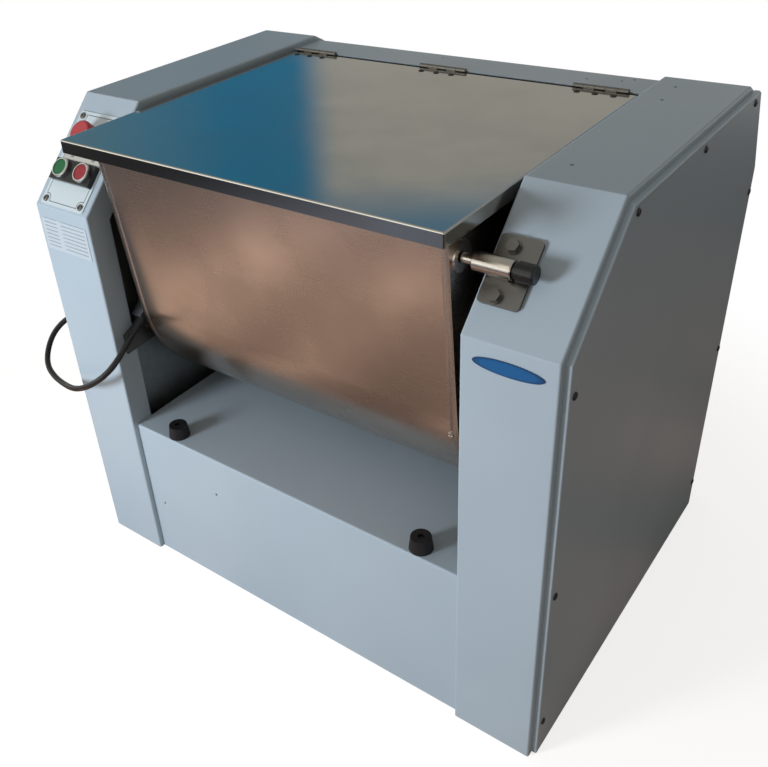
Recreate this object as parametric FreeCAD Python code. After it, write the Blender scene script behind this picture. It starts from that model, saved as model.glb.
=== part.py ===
import FreeCAD, Part
import math
import os

V = FreeCAD.Vector

# Horizontal dough mixer: a trough with a turning agitator hangs between two sheet-metal columns
# and tips forward onto two rubber bumpers. X runs along the shaft, the front is -Y, up is +Z.
# Lengths are millimetres. While modelling, Y = 0 is the front face of the columns; export()
# moves everything so that the origin is at the middle of the footprint, on the floor.

# Body of the machine
column_inner = 296.0        # inner face of each column, from the middle
column_width = 113.0
body_height = 750.0
facet_drop = 128.0          # the sloping facet falls this far below the top, at 45 degrees
body_depth = 598.0
top_back_step = 68.0        # the flat top ends this far before the back
shoulder_step = 45.0
shoulder_drop = 12.0
sheet = 2.0                 # body sheet thickness
bend_radius = 3.0
flange = 38.0               # return flange round the inner opening of a column
service_flange = 25.0       # flange round the openings that covers close
top_hole_radius = 2.5
top_holes = [(30.0, 490.0), (34.0, 431.0), (31.0, 178.0)]

# Side covers and rear cover
cover_depth = 7.5
cover_inset = 9.0
cover_foot = 3.0
cover_bend = 2.0
screw_radius = 4.6
screw_head = 2.5
screw_edge = 11.0           # screw centres in from a cover's edge
low_screw_z = 60.0
middle_screw_share = 0.39   # height of the middle front screw, as a share of the body's
rear_screw_share = 0.44
rear_cover_margin = 4.0
rear_cover_depth = 38.0
rear_cover_foot = 4.0
rear_cover_drop = 16.0      # cover's top below the facet's bend
louvre_count = 6
louvre_length = 150.0
louvre_height = 7.0
louvre_pitch = 26.0
louvre_first_z = 110.0
louvre_x = 190.0

# Base box between the columns
base_front_y = 8.5
base_gap = 29.0             # from the underside of the trough down to the box
tray_upstand = 40.0
panel_hole_radius = 2.0
panel_holes = [(-268.0, 0.42), (-135.0, 0.73)]  # x, share of the box's height

# Rear bridge that carries the lid, and the sheet behind the trough
bridge_drop = 8.0           # bridge top lies this far under the column tops
bridge_gap = 4.5            # bridge edge to hinge pin
bridge_flat_over = 6.0      # flat top reaches this far past the columns' flat tops
bridge_holes = [(-41.0, 0.76), (199.0, 0.53), (246.0, 0.66), (259.0, 0.83)]  # x, share of the flat
chamber_sheet = 1.5

# Trough
axis_y = 240.0              # shaft axis
axis_drop = 260.0           # shaft axis below the column tops
bowl_radius = 198.0         # outside of the round bottom
bowl_sheet = 3.0
bowl_side_gap = 26.0        # between an end plate and the column beside it
bowl_flare = 5.5            # degrees each long wall leans outward
rim_gap = 0.5               # front rim under the lid sheet
rim_rear_drop = 37.5        # rear rim lower than the front one
rim_reach = 40.0            # front edge of the rim flange ahead of the round bottom
rim_flange_sheet = 2.0
lock_hole_radius = 6.5
lock_boss_radius = 18.0
lock_boss_shift = 3.0       # boss centre behind the hole
lock_boss = 4.0

# Hubs, bearings and seals at both ends of the shaft
plate_gap = 20.0            # column's inner face to the bearing plate
plate_thick = 6.0
plate_facet_inset = 50.0    # the plates stay this far under the facet, clear of the controls
hub_radius = 40.0
hub_bore = 31.0
hub_end_gap = 3.0           # fixed hub to the trough's end plate
hub_flange_radius = 65.0
hub_flange = 8.0
bearing_width = 16.0
bearing_step = 4.0
ring_flange_radius = 65.0
ring_flange = 8.0
ring_end_gap = 16.0         # carrier ring to the bearing plate
ring_radius = 54.0
bush_radius = 44.0
running_fit = 0.05
seal_radius = 31.0
seal_proud = 0.5            # seal past the trough's end wall
seal_length = 8.0
bolt_radius = 4.0
bolt_head_radius = 6.5
bolt_head = 5.0
hub_bolt_circle = 53.0
hub_bolts = 6

# Agitator
shaft_radius = 18.0
journal_radius = 15.0
journal_inset = 9.0         # shoulder of the shaft inside the end plate
shaft_left_over = 14.0      # the shaft passes the left bearing plate by this
arm_gap = 7.0               # tip of an arm to the trough
arm_width = 26.0
arm_thick = 28.0
arm_bulge = 0.24            # sideways bow of an arm, as a share of its reach
arm_hub_radius = 31.0
arm_count = 5
arm_turn = 36.0             # degrees between one arm and the next
scraper_gap = 6.0           # end scraper to the end plate
scraper_thick = 14.0

# Gear pair and belt drive in the right column
gear_module = 3.5
gear_teeth = 72
pinion_teeth = 18
tooth_backlash = 0.4
pressure_angle = 20.0
gear_gap = 25.0             # bearing plate to gear
gear_width = 22.0
gear_web = 9.0
gear_rim = 12.0
gear_hub_radius = 30.0
gear_holes = 6
gear_hole_radius = 16.0
shaft_end_over = 4.0
pinion_angle = -45.0        # direction from the shaft to the countershaft
counter_radius = 10.0
counter_bore = 23.5
counter_hub_radius = 33.0
counter_flange_reach = 16.0
counter_nose_step = 3.0
counter_hub_gap = 6.0       # countershaft hub to gear
counter_bearing_width = 14.0
pulley_gap = 7.0            # gear to pulley
pulley_width = 20.0
large_pulley_radius = 100.0
small_pulley_radius = 35.0
pulley_hole_radius = 19.0
pulley_holes = 5
groove_depth = 7.5
groove_width = 10.8
belt_width = 10.0
belt_depth = 6.0
belt_gap = 0.3
pulley_shaft_over = 3.0

# Motor on its rail
motor_z = 110.0
motor_radius = 74.0
motor_fin_depth = 5.0
motor_length = 208.0
motor_gap = 24.0            # motor face to the column
motor_shaft_radius = 12.0
motor_bore_depth = 20.0
motor_fin_count = 9
motor_fin = 4.0
motor_cap = 34.0            # fan cover
motor_flange = 14.0
motor_foot_width = 26.0
motor_foot_height = 10.0
terminal_width = 80.0
terminal_reach = 30.0
mount_thick = 9.0

# Lid and hinges
lid_gap = 7.5               # lid to column
lid_drop = 0.5              # lid top below the bridge top
lid_front_over = 20.0       # lid past the rim flange
lid_back_over = 23.0        # lid past the back of the round bottom
lid_sheet = 1.5
lid_bend = 2.0
lid_lip = 17.5
hinge_gap = 5.0             # lid edge to hinge pin
hinge_rise = 2.0            # pin centre over the lid
knuckle_radius = 3.5
pin_radius = 2.0
hinge_length = 78.0
hinge_xs = [-245.0, -8.0, 236.0]
leaf_thick = 1.5
leaf_reach = 26.0
hinge_screw_pitch = 25.4
hinge_screw_step = 19.0     # screw line in front of the pin
hinge_screw_radius = 4.2
hinge_screw_head = 1.2

# Controls on the left facet; u runs up the facet from its lower bend
plate_side_gap = 11.0       # control plate to the column's edges
plate_low_u = 4.0
plate_high_u = 151.0
plate_corner = 4.0
plate_screw_inset = 8.0
control_sheet = 1.5
button_u = 58.0
button_spacing = 45.0
bezel_radius = 14.8
bezel_chamfer = 1.2
button_radius = 11.6
button_hole = 12.0
button_stem_radius = 4.0
block_half = 42.0
block_low_u = 41.0
block_high_u = 73.0
block_height = 7.5
bezel_height = 6.0
button_travel = 3.0
estop_u = 111.0
estop_collar_radius = 18.0
estop_collar_height = 7.0
estop_stem_radius = 9.0
estop_head_radius = 18.5
estop_head_low = 15.0
estop_head_high = 27.0
estop_socket = 6.0
estop_round = 4.5
contact_width = 30.0
contact_depth = 42.0
contact_socket = 10.0
contactor_y = 240.0
contactor_z = 210.0
contactor_size = 180.0
contactor_depth = 72.0
contactor_rim = 4.0
contactor_inner_depth = 50.0
contactor_inner_size = 80.0

# Plates on the column fronts
badge_drop = 24.0           # badge centre below the facet
badge_half_length = 41.0
badge_half_height = 8.6
badge_thick = 1.2
data_drop = 43.0
data_width = 98.0
data_height = 49.0
data_thick = 0.8

# Rubber bumpers on the base box
bumper_xs = [-218.0, 228.0]
bumper_y = 26.5
bumper_radius = 16.5
bumper_top_radius = 14.0
bumper_height = 20.0
bumper_recess = 3.0

# Index plunger on the right facet; c is height over the facet
plunger_u = 75.0
plunger_c = 18.0
bracket_inset = 4.0         # bracket in from the column's edge
bracket_width = 48.0
bracket_low_u = 38.0
bracket_high_u = 115.0
bracket_thick = 4.0
bracket_corner = 5.0
saddle_inset = 6.0
saddle_width = 20.0
bracket_bolts = [(23.0, 47.5), (22.0, 102.5)]
bolt_hex_radius = 7.5
bolt_hex_height = 5.3
washer_radius = 8.4
washer_thick = 1.6
bolt_shank = 12.0
sleeve_inset = 6.0          # sleeve's near end before the column's inner face
sleeve_length = 44.0
sleeve_radius = 11.0
plunger_radius = 6.0
plunger_tip_gap = 0.5
rod_radius = 4.0
spring_chamber = 8.6
collar_radius = 8.3
collar_length = 4.0
sleeve_wall = 7.0
sleeve_nose = 7.0
knob_radius = 10.7
knob_neck_radius = 8.0
knob_neck = 4.0
knob_length = 24.0
knob_gap = 0.6
knob_socket = 13.0
knob_round = 2.5
spring_turns = 7
spring_outer = 8.0
spring_inner = 5.0
spring_wave = 6.2

# Position switch on the left column, beside the trough
lug_thick = 3.0
lug_outline = [(-29.0, -52.0), (-29.0, -20.0), (0.0, -7.0), (24.0, -15.0), (32.0, -48.0)]
lug_bolt = (19.0, -24.0)
lug_bolt_radius = 4.5
lug_bolt_head = 4.0
switch_inset = 5.0          # where the lead leaves the switch, behind the trough's front
switch_drop = 46.0          # switch below the shaft axis
switch_tilt = 36.87         # degrees the switch body leans back from level
switch_length = 42.0
switch_half_height = 10.0
switch_width = 17.0
switch_pin_radius = 2.0
switch_pin_gap = 3.2        # roller pin to the trough
shelf_short = 6.0
boot_length = 24.0
boot_wide = 7.5
boot_inset = 5.9            # boot's middle in from the switch's free side
boot_narrow = 5.2

# Lead from the switch to the left side cover. Each point is (share of the way from the column's
# inner face out to the side cover, depth behind the column fronts, height over the switch).
lead_radius = 4.6
lead_first_run = 24.5       # straight out of the boot on the switch
lead_last_run = 30.0        # straight into the boot on the cover
gland_y = 79.0
gland_drop = 61.0           # gland below the switch
gland_nut_radius = 11.0
gland_nut = 8.0
gland_boot = 18.0
lead_route = [
    (-0.108, -14.0, -46.5),
    (-0.033, -29.0, -62.0),
    (0.124, -38.5, -78.5),
    (0.373, -41.0, -98.0),
    (0.680, -36.0, -116.0),
    (1.012, -25.0, -129.0),
    (1.336, -16.0, -133.0),
    (1.618, -4.0, -129.0),
    (1.784, 16.0, -114.0),
    (1.840, 41.0, -93.0),
    (1.726, 65.0, -73.0),
]

# Worked-out places
column_outer = column_inner + column_width
side_cover_x = column_outer + cover_depth
facet_bend_z = body_height - facet_drop
facet_angle = 45.0
rear_face_y = body_depth + rear_cover_depth
rear_cover_half = column_outer - rear_cover_margin
rear_cover_top = facet_bend_z - rear_cover_drop
rim_flange_y = axis_y - bowl_radius - rim_reach
lid_front_y = rim_flange_y - lid_front_over
lid_back_y = axis_y + bowl_radius + lid_back_over
origin_y = (lid_front_y + rear_face_y + screw_head) / 2
bridge_top_z = body_height - bridge_drop
lid_top_z = bridge_top_z - lid_drop
lid_half = column_inner - lid_gap
hinge_y = lid_back_y + hinge_gap
hinge_z = lid_top_z + hinge_rise
hinge_screw_y = hinge_y - hinge_screw_step
bridge_front_y = hinge_y + bridge_gap
bridge_flat_y = body_depth - top_back_step + bridge_flat_over
chamber_back_y = (bridge_front_y + bridge_flat_y) / 2
axis_z = body_height - axis_drop
base_top_z = axis_z - bowl_radius - base_gap
bowl_half = column_inner - bowl_side_gap
rim_front_z = lid_top_z - lid_sheet - rim_gap
rim_rear_z = rim_front_z - rim_rear_drop
plate_x = column_inner + plate_gap
hub_flange_x = plate_x + plate_thick
hub_end_x = bowl_half + hub_end_gap
ring_end_x = plate_x - ring_end_gap
journal_start_x = bowl_half - journal_inset
arm_reach = bowl_radius - bowl_sheet - arm_gap
scraper_x = bowl_half - bowl_sheet - scraper_gap - scraper_thick
arm_pitch = 2 * scraper_x / arm_count
gear_x = plate_x + plate_thick + gear_gap
counter_hub_inner = ring_end_x
counter_hub_outer = gear_x - counter_hub_gap
pulley_x = gear_x + gear_width + pulley_gap
shaft_end_x = pulley_x + pulley_width + pulley_shaft_over
pitch_gear = gear_module * gear_teeth / 2
pitch_pinion = gear_module * pinion_teeth / 2
gear_centres = pitch_gear + pitch_pinion
counter_y = axis_y + gear_centres * math.cos(math.radians(pinion_angle))
counter_z = axis_z + gear_centres * math.sin(math.radians(pinion_angle))
motor_right = column_inner - motor_gap
motor_left = motor_right - motor_length
column_middle = (column_inner + column_outer) / 2
plate_left = -column_outer + plate_side_gap
plate_right = -column_inner - plate_side_gap
button_xs = [-column_middle - button_spacing / 2, -column_middle + button_spacing / 2]
plunger_y = (plunger_u - plunger_c) * math.cos(math.radians(facet_angle))
plunger_z = facet_bend_z + (plunger_u + plunger_c) * math.sin(math.radians(facet_angle))
bracket_left = column_inner + bracket_inset
bracket_right = bracket_left + bracket_width
sleeve_left = column_inner - sleeve_inset
sleeve_right = sleeve_left + sleeve_length
collar_left = sleeve_left + sleeve_nose
switch_y = axis_y - bowl_radius + switch_inset
switch_z = axis_z - switch_drop
switch_left = -column_inner + lug_thick
switch_right = switch_left + switch_width
gland_z = switch_z - gland_drop
flare = math.radians(bowl_flare)


def box(x0, x1, y0, y1, z0, z1):
    return Part.makeBox(x1 - x0, y1 - y0, z1 - z0, V(x0, y0, z0))


def rod_x(radius, x0, x1, y, z):
    return Part.makeCylinder(radius, x1 - x0, V(x0, y, z), V(1, 0, 0))


def tube_x(outer, inner, x0, x1, y, z):
    return rod_x(outer, x0, x1, y, z).cut(rod_x(inner, x0, x1, y, z))


def rod_y(radius, y0, y1, x, z):
    return Part.makeCylinder(radius, y1 - y0, V(x, y0, z), V(0, 1, 0))


def rod_z(radius, z0, z1, x, y):
    return Part.makeCylinder(radius, z1 - z0, V(x, y, z0), V(0, 0, 1))


def prism_x(points, x0, x1):
    corners = [V(x0, y, z) for y, z in points]
    face = Part.Face(Part.makePolygon(corners + corners[:1]))
    return face.extrude(V(x1 - x0, 0, 0))


def revolve_x(points, y, z):
    corners = [V(x, y + radius, z) for x, radius in points]
    face = Part.Face(Part.makePolygon(corners + corners[:1]))
    return face.revolve(V(0, y, z), V(1, 0, 0), 360)


def mirrored(shape):
    return shape.mirror(V(0, 0, 0), V(1, 0, 0))


def both_sides(shape):
    return [shape, mirrored(shape)]


def fused(shapes):
    return shapes[0].multiFuse(shapes[1:]).removeSplitter()


def cut_all(shape, tools):
    return shape.cut(tools)


def inset(points, amounts):
    """Move each edge of a convex outline inward by its own amount; edge i runs from point i."""
    count = len(points)
    lines = []
    for i in range(count):
        y0, z0 = points[i]
        y1, z1 = points[(i + 1) % count]
        length = math.hypot(y1 - y0, z1 - z0)
        dy, dz = (y1 - y0) / length, (z1 - z0) / length
        lines.append((y0 + dz * amounts[i], z0 - dy * amounts[i], dy, dz))
    corners = []
    for i in range(count):
        y0, z0, dy0, dz0 = lines[i - 1]
        y1, z1, dy1, dz1 = lines[i]
        share = ((y1 - y0) * dz1 - (z1 - z0) * dy1) / (dy0 * dz1 - dz0 * dy1)
        corners.append((y0 + share * dy0, z0 + share * dz0))
    return corners


def on_facet(shape):
    """Place a shape drawn with u along Y and height over the facet along Z."""
    placed = shape.copy()
    placed.rotate(V(0, 0, 0), V(1, 0, 0), facet_angle)
    placed.translate(V(0, 0, facet_bend_z))
    return placed


def export(name, shapes):
    if not isinstance(shapes, list):
        shapes = [shapes]
    group = Part.makeCompound(shapes) if len(shapes) > 1 else shapes[0]
    group.translate(V(0, -origin_y, 0))
    group.exportStep("parts/" + name + ".step")


# Side outline of a column, from the front foot round to the back foot
outline = [
    (0.0, 0.0),
    (0.0, facet_bend_z),
    (facet_drop, body_height),
    (body_depth - top_back_step, body_height),
    (body_depth - shoulder_step, body_height - shoulder_drop),
    (body_depth, facet_bend_z),
    (body_depth, 0.0),
]


def even(amount):
    return [amount] * len(outline)


def bent_edges(solid):
    """Edges of a column's outer skin that are folded, all but those at the floor."""
    return [e for e in solid.Edges if e.BoundBox.ZMax > bend_radius]


def column_housing():
    skin = prism_x(outline, column_inner, column_outer)
    skin = skin.makeFillet(bend_radius, bent_edges(skin))
    hollow = prism_x(inset(outline, even(sheet)), column_inner + sheet, column_outer - sheet)
    window = inset(outline, even(flange))
    access = inset(outline, even(service_flange))
    reach = 2 * sheet
    tools = [
        hollow,
        prism_x(window, column_inner - reach, column_inner + reach),
        prism_x(access, column_outer - reach, column_outer + reach),
        box(column_inner + service_flange, column_outer - service_flange,
            service_flange, body_depth - service_flange, -reach, reach),
        box(column_inner + service_flange, column_outer - service_flange,
            body_depth - reach, body_depth + reach, service_flange, rear_cover_top - service_flange),
    ]
    return cut_all(skin, tools)


def right_column():
    holes = []
    low, high = body_height - 2 * sheet, body_height + sheet
    for x, y in top_holes:
        holes.append(rod_z(top_hole_radius, low, high, column_inner + x, y))
    for x, u in bracket_bolts:
        holes.append(on_facet(rod_z(bolt_radius, -2 * sheet, sheet, column_inner + x, u)))
    return cut_all(column_housing(), holes)


def left_column():
    holes = []
    for x in button_xs:
        holes.append(on_facet(rod_z(button_hole, -2 * sheet, sheet, x, button_u)))
    holes.append(on_facet(rod_z(button_hole, -2 * sheet, sheet, -column_middle, estop_u)))
    return cut_all(mirrored(column_housing()), holes)


def cover_outline():
    return inset(outline, [cover_inset, cover_inset, cover_inset, 0.0, 0.0, 0.0, cover_foot])


def side_cover():
    rim = cover_outline()
    tray = prism_x(rim, column_outer, side_cover_x)
    tray = tray.makeFillet(cover_bend, [e for e in tray.Edges if e.BoundBox.XMin > side_cover_x - 0.01])
    hollow = prism_x(inset(rim, even(sheet)), column_outer, side_cover_x - sheet)
    return tray.cut(hollow)


def left_side_cover():
    cable_hole = rod_x(boot_wide, -side_cover_x - sheet, -side_cover_x + 2 * sheet, gland_y, gland_z)
    return mirrored(side_cover()).cut(cable_hole)


def side_screw_places():
    """Screw centres along the front, facet, top and back of a side cover."""
    front_y = cover_inset + screw_edge
    top_z = body_height - cover_inset - screw_edge
    back_y = body_depth - screw_edge
    top_back = body_depth - top_back_step
    front_zs = (low_screw_z, middle_screw_share * body_height, facet_bend_z - 4 * screw_edge)
    top_ys = (facet_drop + screw_edge, (facet_drop + top_back) / 2 + screw_edge, top_back)
    back_zs = (low_screw_z, rear_screw_share * body_height, facet_bend_z - 3 * screw_edge)
    places = [(front_y, z) for z in front_zs]
    places += [(y, top_z) for y in top_ys]
    places += [(back_y, z) for z in back_zs]
    return places


def rear_screw_places():
    xs = (-rear_cover_half + screw_edge, 0.0, rear_cover_half - screw_edge)
    zs = (rear_cover_foot + screw_edge, rear_cover_top - screw_edge)
    return [(x, z) for x in xs for z in zs]


def panel_screws():
    screws = []
    for y, z in side_screw_places():
        screws += both_sides(rod_x(screw_radius, side_cover_x, side_cover_x + screw_head, y, z))
    for x, z in rear_screw_places():
        screws.append(rod_y(screw_radius, rear_face_y, rear_face_y + screw_head, x, z))
    for x in (plate_left + plate_screw_inset, plate_right - plate_screw_inset):
        for u in (plate_low_u + plate_screw_inset, plate_high_u - plate_screw_inset):
            screws.append(on_facet(rod_z(screw_radius, control_sheet, control_sheet + screw_head, x, u)))
    for x in bumper_xs:
        low = base_top_z + bumper_height - bumper_recess - screw_head
        screws.append(rod_z(screw_radius, low, low + screw_head, x, bumper_y))
    return screws


def base_housing():
    fold = [
        (base_front_y, 0.0),
        (base_front_y, base_top_z),
        (body_depth, base_top_z),
        (body_depth, base_top_z - sheet),
        (base_front_y + sheet, base_top_z - sheet),
        (base_front_y + sheet, 0.0),
    ]
    folded = prism_x(fold, -column_inner, column_inner)
    crease = []
    for edge in folded.Edges:
        reach = edge.BoundBox
        if reach.ZMin > base_top_z - 0.01 and reach.YMax < base_front_y + 0.01:
            crease.append(edge)
    parts = [folded.makeFillet(bend_radius, crease)]
    low = base_top_z - service_flange
    parts += both_sides(box(column_inner - sheet, column_inner, base_front_y + sheet, body_depth,
                            low, base_top_z - sheet))
    through = (0, 2 * base_front_y)
    holes = [rod_y(panel_hole_radius, *through, x, share * base_top_z) for x, share in panel_holes]
    return cut_all(fused(parts), holes)


def base_tray():
    back = body_depth - sheet
    front = base_front_y + sheet
    floor = box(-column_inner, column_inner, front, back, 0, sheet)
    walls = both_sides(box(column_inner - sheet, column_inner, front, back, sheet, tray_upstand))
    return fused([floor] + walls)


def motor_mount():
    """Flat rail plate with a tensioning slot near each corner."""
    half = motor_radius
    over = motor_foot_height
    slot_width, slot_length = 9.0, 20.0
    plate = box(motor_left - over, motor_right + over / 2, counter_y - half, counter_y + half,
                sheet, sheet + mount_thick)
    slots = []
    for x in (motor_left, motor_right - slot_width - over / 2):
        for side in (-1, 1):
            y = counter_y + side * (half - slot_length)
            slots.append(box(x, x + slot_width, y - slot_length / 2, y + slot_length / 2, 0, 4 * mount_thick))
    return cut_all(plate, slots)


def rear_bridge():
    """Folded sheet: flat top, a slope that runs with the columns' backs, and a drop behind the cover."""
    top = bridge_top_z
    low = rear_cover_top - service_flange
    back = body_depth - sheet
    shoulder_y = body_depth - shoulder_step - sheet
    shoulder_z = top - shoulder_drop
    slope_z = facet_bend_z - bridge_drop
    outer = [
        (bridge_front_y, top),
        (bridge_flat_y, top),
        (shoulder_y, shoulder_z),
        (back, slope_z),
        (back, low),
    ]
    inner = [
        (back - sheet, low),
        (back - sheet, slope_z - sheet),
        (shoulder_y - sheet, shoulder_z - sheet),
        (bridge_flat_y, top - sheet),
        (bridge_front_y, top - sheet),
    ]
    sheet_metal = prism_x(outer + inner, -column_inner, column_inner)
    flat = bridge_flat_y - bridge_front_y
    holes = []
    for x, share in bridge_holes:
        holes.append(rod_z(panel_hole_radius, top - 2 * sheet, top + sheet, x, bridge_front_y + share * flat))
    return cut_all(sheet_metal, holes)


def chamber_back():
    return box(-column_inner, column_inner, chamber_back_y, chamber_back_y + chamber_sheet,
               base_top_z, bridge_top_z - sheet)


def rear_cover():
    half = rear_cover_half
    top = rear_cover_top
    shell = box(-half, half, body_depth, rear_face_y, rear_cover_foot, top)
    hollow = box(-half + sheet, half - sheet, body_depth - sheet, rear_face_y - sheet,
                 rear_cover_foot + sheet, top - sheet)
    rims = [e for e in shell.Edges if e.BoundBox.YMin > rear_face_y - 0.01]
    shell = shell.makeFillet(bend_radius, rims)
    slots = []
    for side in (-1, 1):
        x = side * louvre_x
        for i in range(louvre_count):
            z = louvre_first_z + i * louvre_pitch
            slots.append(box(x - louvre_length / 2, x + louvre_length / 2,
                             rear_face_y - 2 * sheet, rear_face_y + sheet, z, z + louvre_height))
    return cut_all(shell, [hollow] + slots)


def bearing_plate():
    amounts = even(sheet)
    amounts[1] = plate_facet_inset
    return prism_x(inset(outline, amounts), plate_x, plate_x + plate_thick)


def right_bearing_plate():
    reach = plate_thick
    tools = [
        rod_x(hub_radius + running_fit, plate_x - reach, plate_x + 2 * reach, axis_y, axis_z),
        rod_x(counter_hub_radius + running_fit, plate_x - reach, plate_x + 2 * reach, counter_y, counter_z),
        rod_x(2 * motor_shaft_radius, plate_x - reach, plate_x + 2 * reach, counter_y, motor_z),
    ]
    return cut_all(bearing_plate(), tools)


def left_bearing_plate():
    hole = rod_x(hub_radius + running_fit, -plate_x - 2 * plate_thick, -plate_x + plate_thick, axis_y, axis_z)
    return mirrored(bearing_plate()).cut(hole)


def bearing_hub():
    """Fixed hub: bolted to the outside of the bearing plate, it reaches in to carry the trough."""
    profile = [
        (hub_end_x, hub_bore),
        (hub_end_x, hub_radius),
        (hub_flange_x, hub_radius),
        (hub_flange_x, hub_flange_radius),
        (hub_flange_x + hub_flange, hub_flange_radius),
        (hub_flange_x + hub_flange, hub_bore),
    ]
    return revolve_x(profile, axis_y, axis_z)


def counter_hub():
    rim = counter_hub_radius + counter_flange_reach
    nose = counter_hub_radius - counter_nose_step
    profile = [
        (counter_hub_inner, counter_bore),
        (counter_hub_inner, counter_hub_radius),
        (hub_flange_x, counter_hub_radius),
        (hub_flange_x, rim),
        (hub_flange_x + hub_flange, rim),
        (hub_flange_x + hub_flange, nose),
        (counter_hub_outer, nose),
        (counter_hub_outer, counter_bore),
    ]
    return revolve_x(profile, counter_y, counter_z)


def ball_bearings():
    """Ball bearings drawn as plain rings: two in each hub, two in the countershaft hub."""
    rings = []
    starts = (hub_end_x + bearing_step, hub_flange_x + hub_flange - bearing_width - bearing_step / 2)
    bore = journal_radius + running_fit
    for x in starts:
        rings += both_sides(tube_x(hub_bore, bore, x, x + bearing_width, axis_y, axis_z))
    width = counter_bearing_width
    for x in (counter_hub_inner + 1, counter_hub_outer - 1 - width):
        rings.append(tube_x(counter_bore, counter_radius + running_fit, x, x + width, counter_y, counter_z))
    return rings


def hub_bolts_group():
    bolts = []
    start = hub_flange_x + hub_flange
    for i in range(hub_bolts):
        angle = 2 * math.pi * (i + 0.5) / hub_bolts
        y = axis_y + hub_bolt_circle * math.cos(angle)
        z = axis_z + hub_bolt_circle * math.sin(angle)
        bolts += both_sides(rod_x(bolt_head_radius, start, start + bolt_head, y, z))
    return bolts


def wall_line(distance, side):
    """A long wall as a point and the direction up it; distance is from the shaft axis."""
    y = axis_y + side * distance * math.cos(flare)
    z = axis_z - distance * math.sin(flare)
    return (y, z), (side * math.sin(flare), math.cos(flare))


def wall_at(distance, side, height):
    (y, z), (dy, dz) = wall_line(distance, side)
    return y + dy * (height - z) / dz, height


def trough_wire(distance, x):
    """Front wall, round bottom and rear wall at this distance from the shaft, left open above."""
    front_top = wall_at(distance, -1, rim_front_z)
    rear_top = wall_at(distance, 1, rim_rear_z)
    front_foot = wall_line(distance, -1)[0]
    rear_foot = wall_line(distance, 1)[0]
    low = (axis_y, axis_z - distance)

    def at(point):
        return V(x, point[0], point[1])

    return [
        Part.LineSegment(at(front_top), at(front_foot)).toShape(),
        Part.Arc(at(front_foot), at(low), at(rear_foot)).toShape(),
        Part.LineSegment(at(rear_foot), at(rear_top)).toShape(),
    ], at(front_top), at(rear_top)


def trough_solid(distance, x0, x1):
    edges, front_top, rear_top = trough_wire(distance, x0)
    edges.append(Part.LineSegment(rear_top, front_top).toShape())
    return Part.Face(Part.Wire(edges)).extrude(V(x1 - x0, 0, 0))


def bowl_shell():
    half = bowl_half - bowl_sheet
    over = 10.0
    inner = bowl_radius - bowl_sheet
    outside = trough_solid(bowl_radius, -half, half)
    lower, front_top, rear_top = trough_wire(inner, -half - over)
    up_front = wall_at(inner, -1, rim_front_z + over)
    up_rear = wall_at(inner, 1, rim_front_z + over)
    lift = [
        Part.LineSegment(rear_top, V(-half - over, *up_rear)).toShape(),
        Part.LineSegment(V(-half - over, *up_rear), V(-half - over, *up_front)).toShape(),
        Part.LineSegment(V(-half - over, *up_front), front_top).toShape(),
    ]
    inside = Part.Face(Part.Wire(lower + lift)).extrude(V(2 * half + 2 * over, 0, 0))
    wall_y = wall_at(bowl_radius - bowl_sheet / 2, -1, rim_front_z)[0]
    rim = box(-half, half, rim_flange_y, wall_y, rim_front_z - rim_flange_sheet, rim_front_z)
    return fused([outside.cut(inside), rim])


def bowl_end(x0, x1):
    plate = trough_solid(bowl_radius, x0, x1)
    return plate.cut(rod_x(seal_radius, x0 - 1, x1 + 1, axis_y, axis_z))


def bowl_end_right():
    plate = bowl_end(bowl_half - bowl_sheet, bowl_half)
    boss_y = plunger_y + lock_boss_shift
    boss = rod_x(lock_boss_radius, bowl_half, bowl_half + lock_boss, boss_y, plunger_z)
    through = (bowl_half - 2 * bowl_sheet, bowl_half + 2 * lock_boss)
    hole = rod_x(lock_hole_radius, *through, plunger_y, plunger_z)
    return fused([plate, boss]).cut(hole)


def bowl_end_left():
    return bowl_end(-bowl_half, -bowl_half + bowl_sheet)


def bowl_rings():
    """Carrier rings bolted to the end plates; they ride on the fixed hubs."""
    profile = [
        (bowl_half, bush_radius),
        (bowl_half, ring_flange_radius),
        (bowl_half + ring_flange, ring_flange_radius),
        (bowl_half + ring_flange, ring_radius),
        (ring_end_x, ring_radius),
        (ring_end_x, bush_radius),
    ]
    return both_sides(revolve_x(profile, axis_y, axis_z))


def bowl_bushes():
    start = hub_end_x + 1
    return both_sides(tube_x(bush_radius, hub_radius + running_fit, start, ring_end_x, axis_y, axis_z))


def shaft_seals():
    end = bowl_half + seal_proud
    bore = journal_radius + running_fit
    return both_sides(tube_x(seal_radius, bore, end - seal_length, end, axis_y, axis_z))


def agitator_shaft():
    left_end = -plate_x - plate_thick - shaft_left_over
    right_end = gear_x + gear_width + shaft_end_over
    profile = [
        (left_end, 0),
        (left_end, journal_radius),
        (-journal_start_x, journal_radius),
        (-journal_start_x, shaft_radius),
        (journal_start_x, shaft_radius),
        (journal_start_x, journal_radius),
        (right_end, journal_radius),
        (right_end, 0),
    ]
    return revolve_x(profile, axis_y, axis_z)


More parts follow.
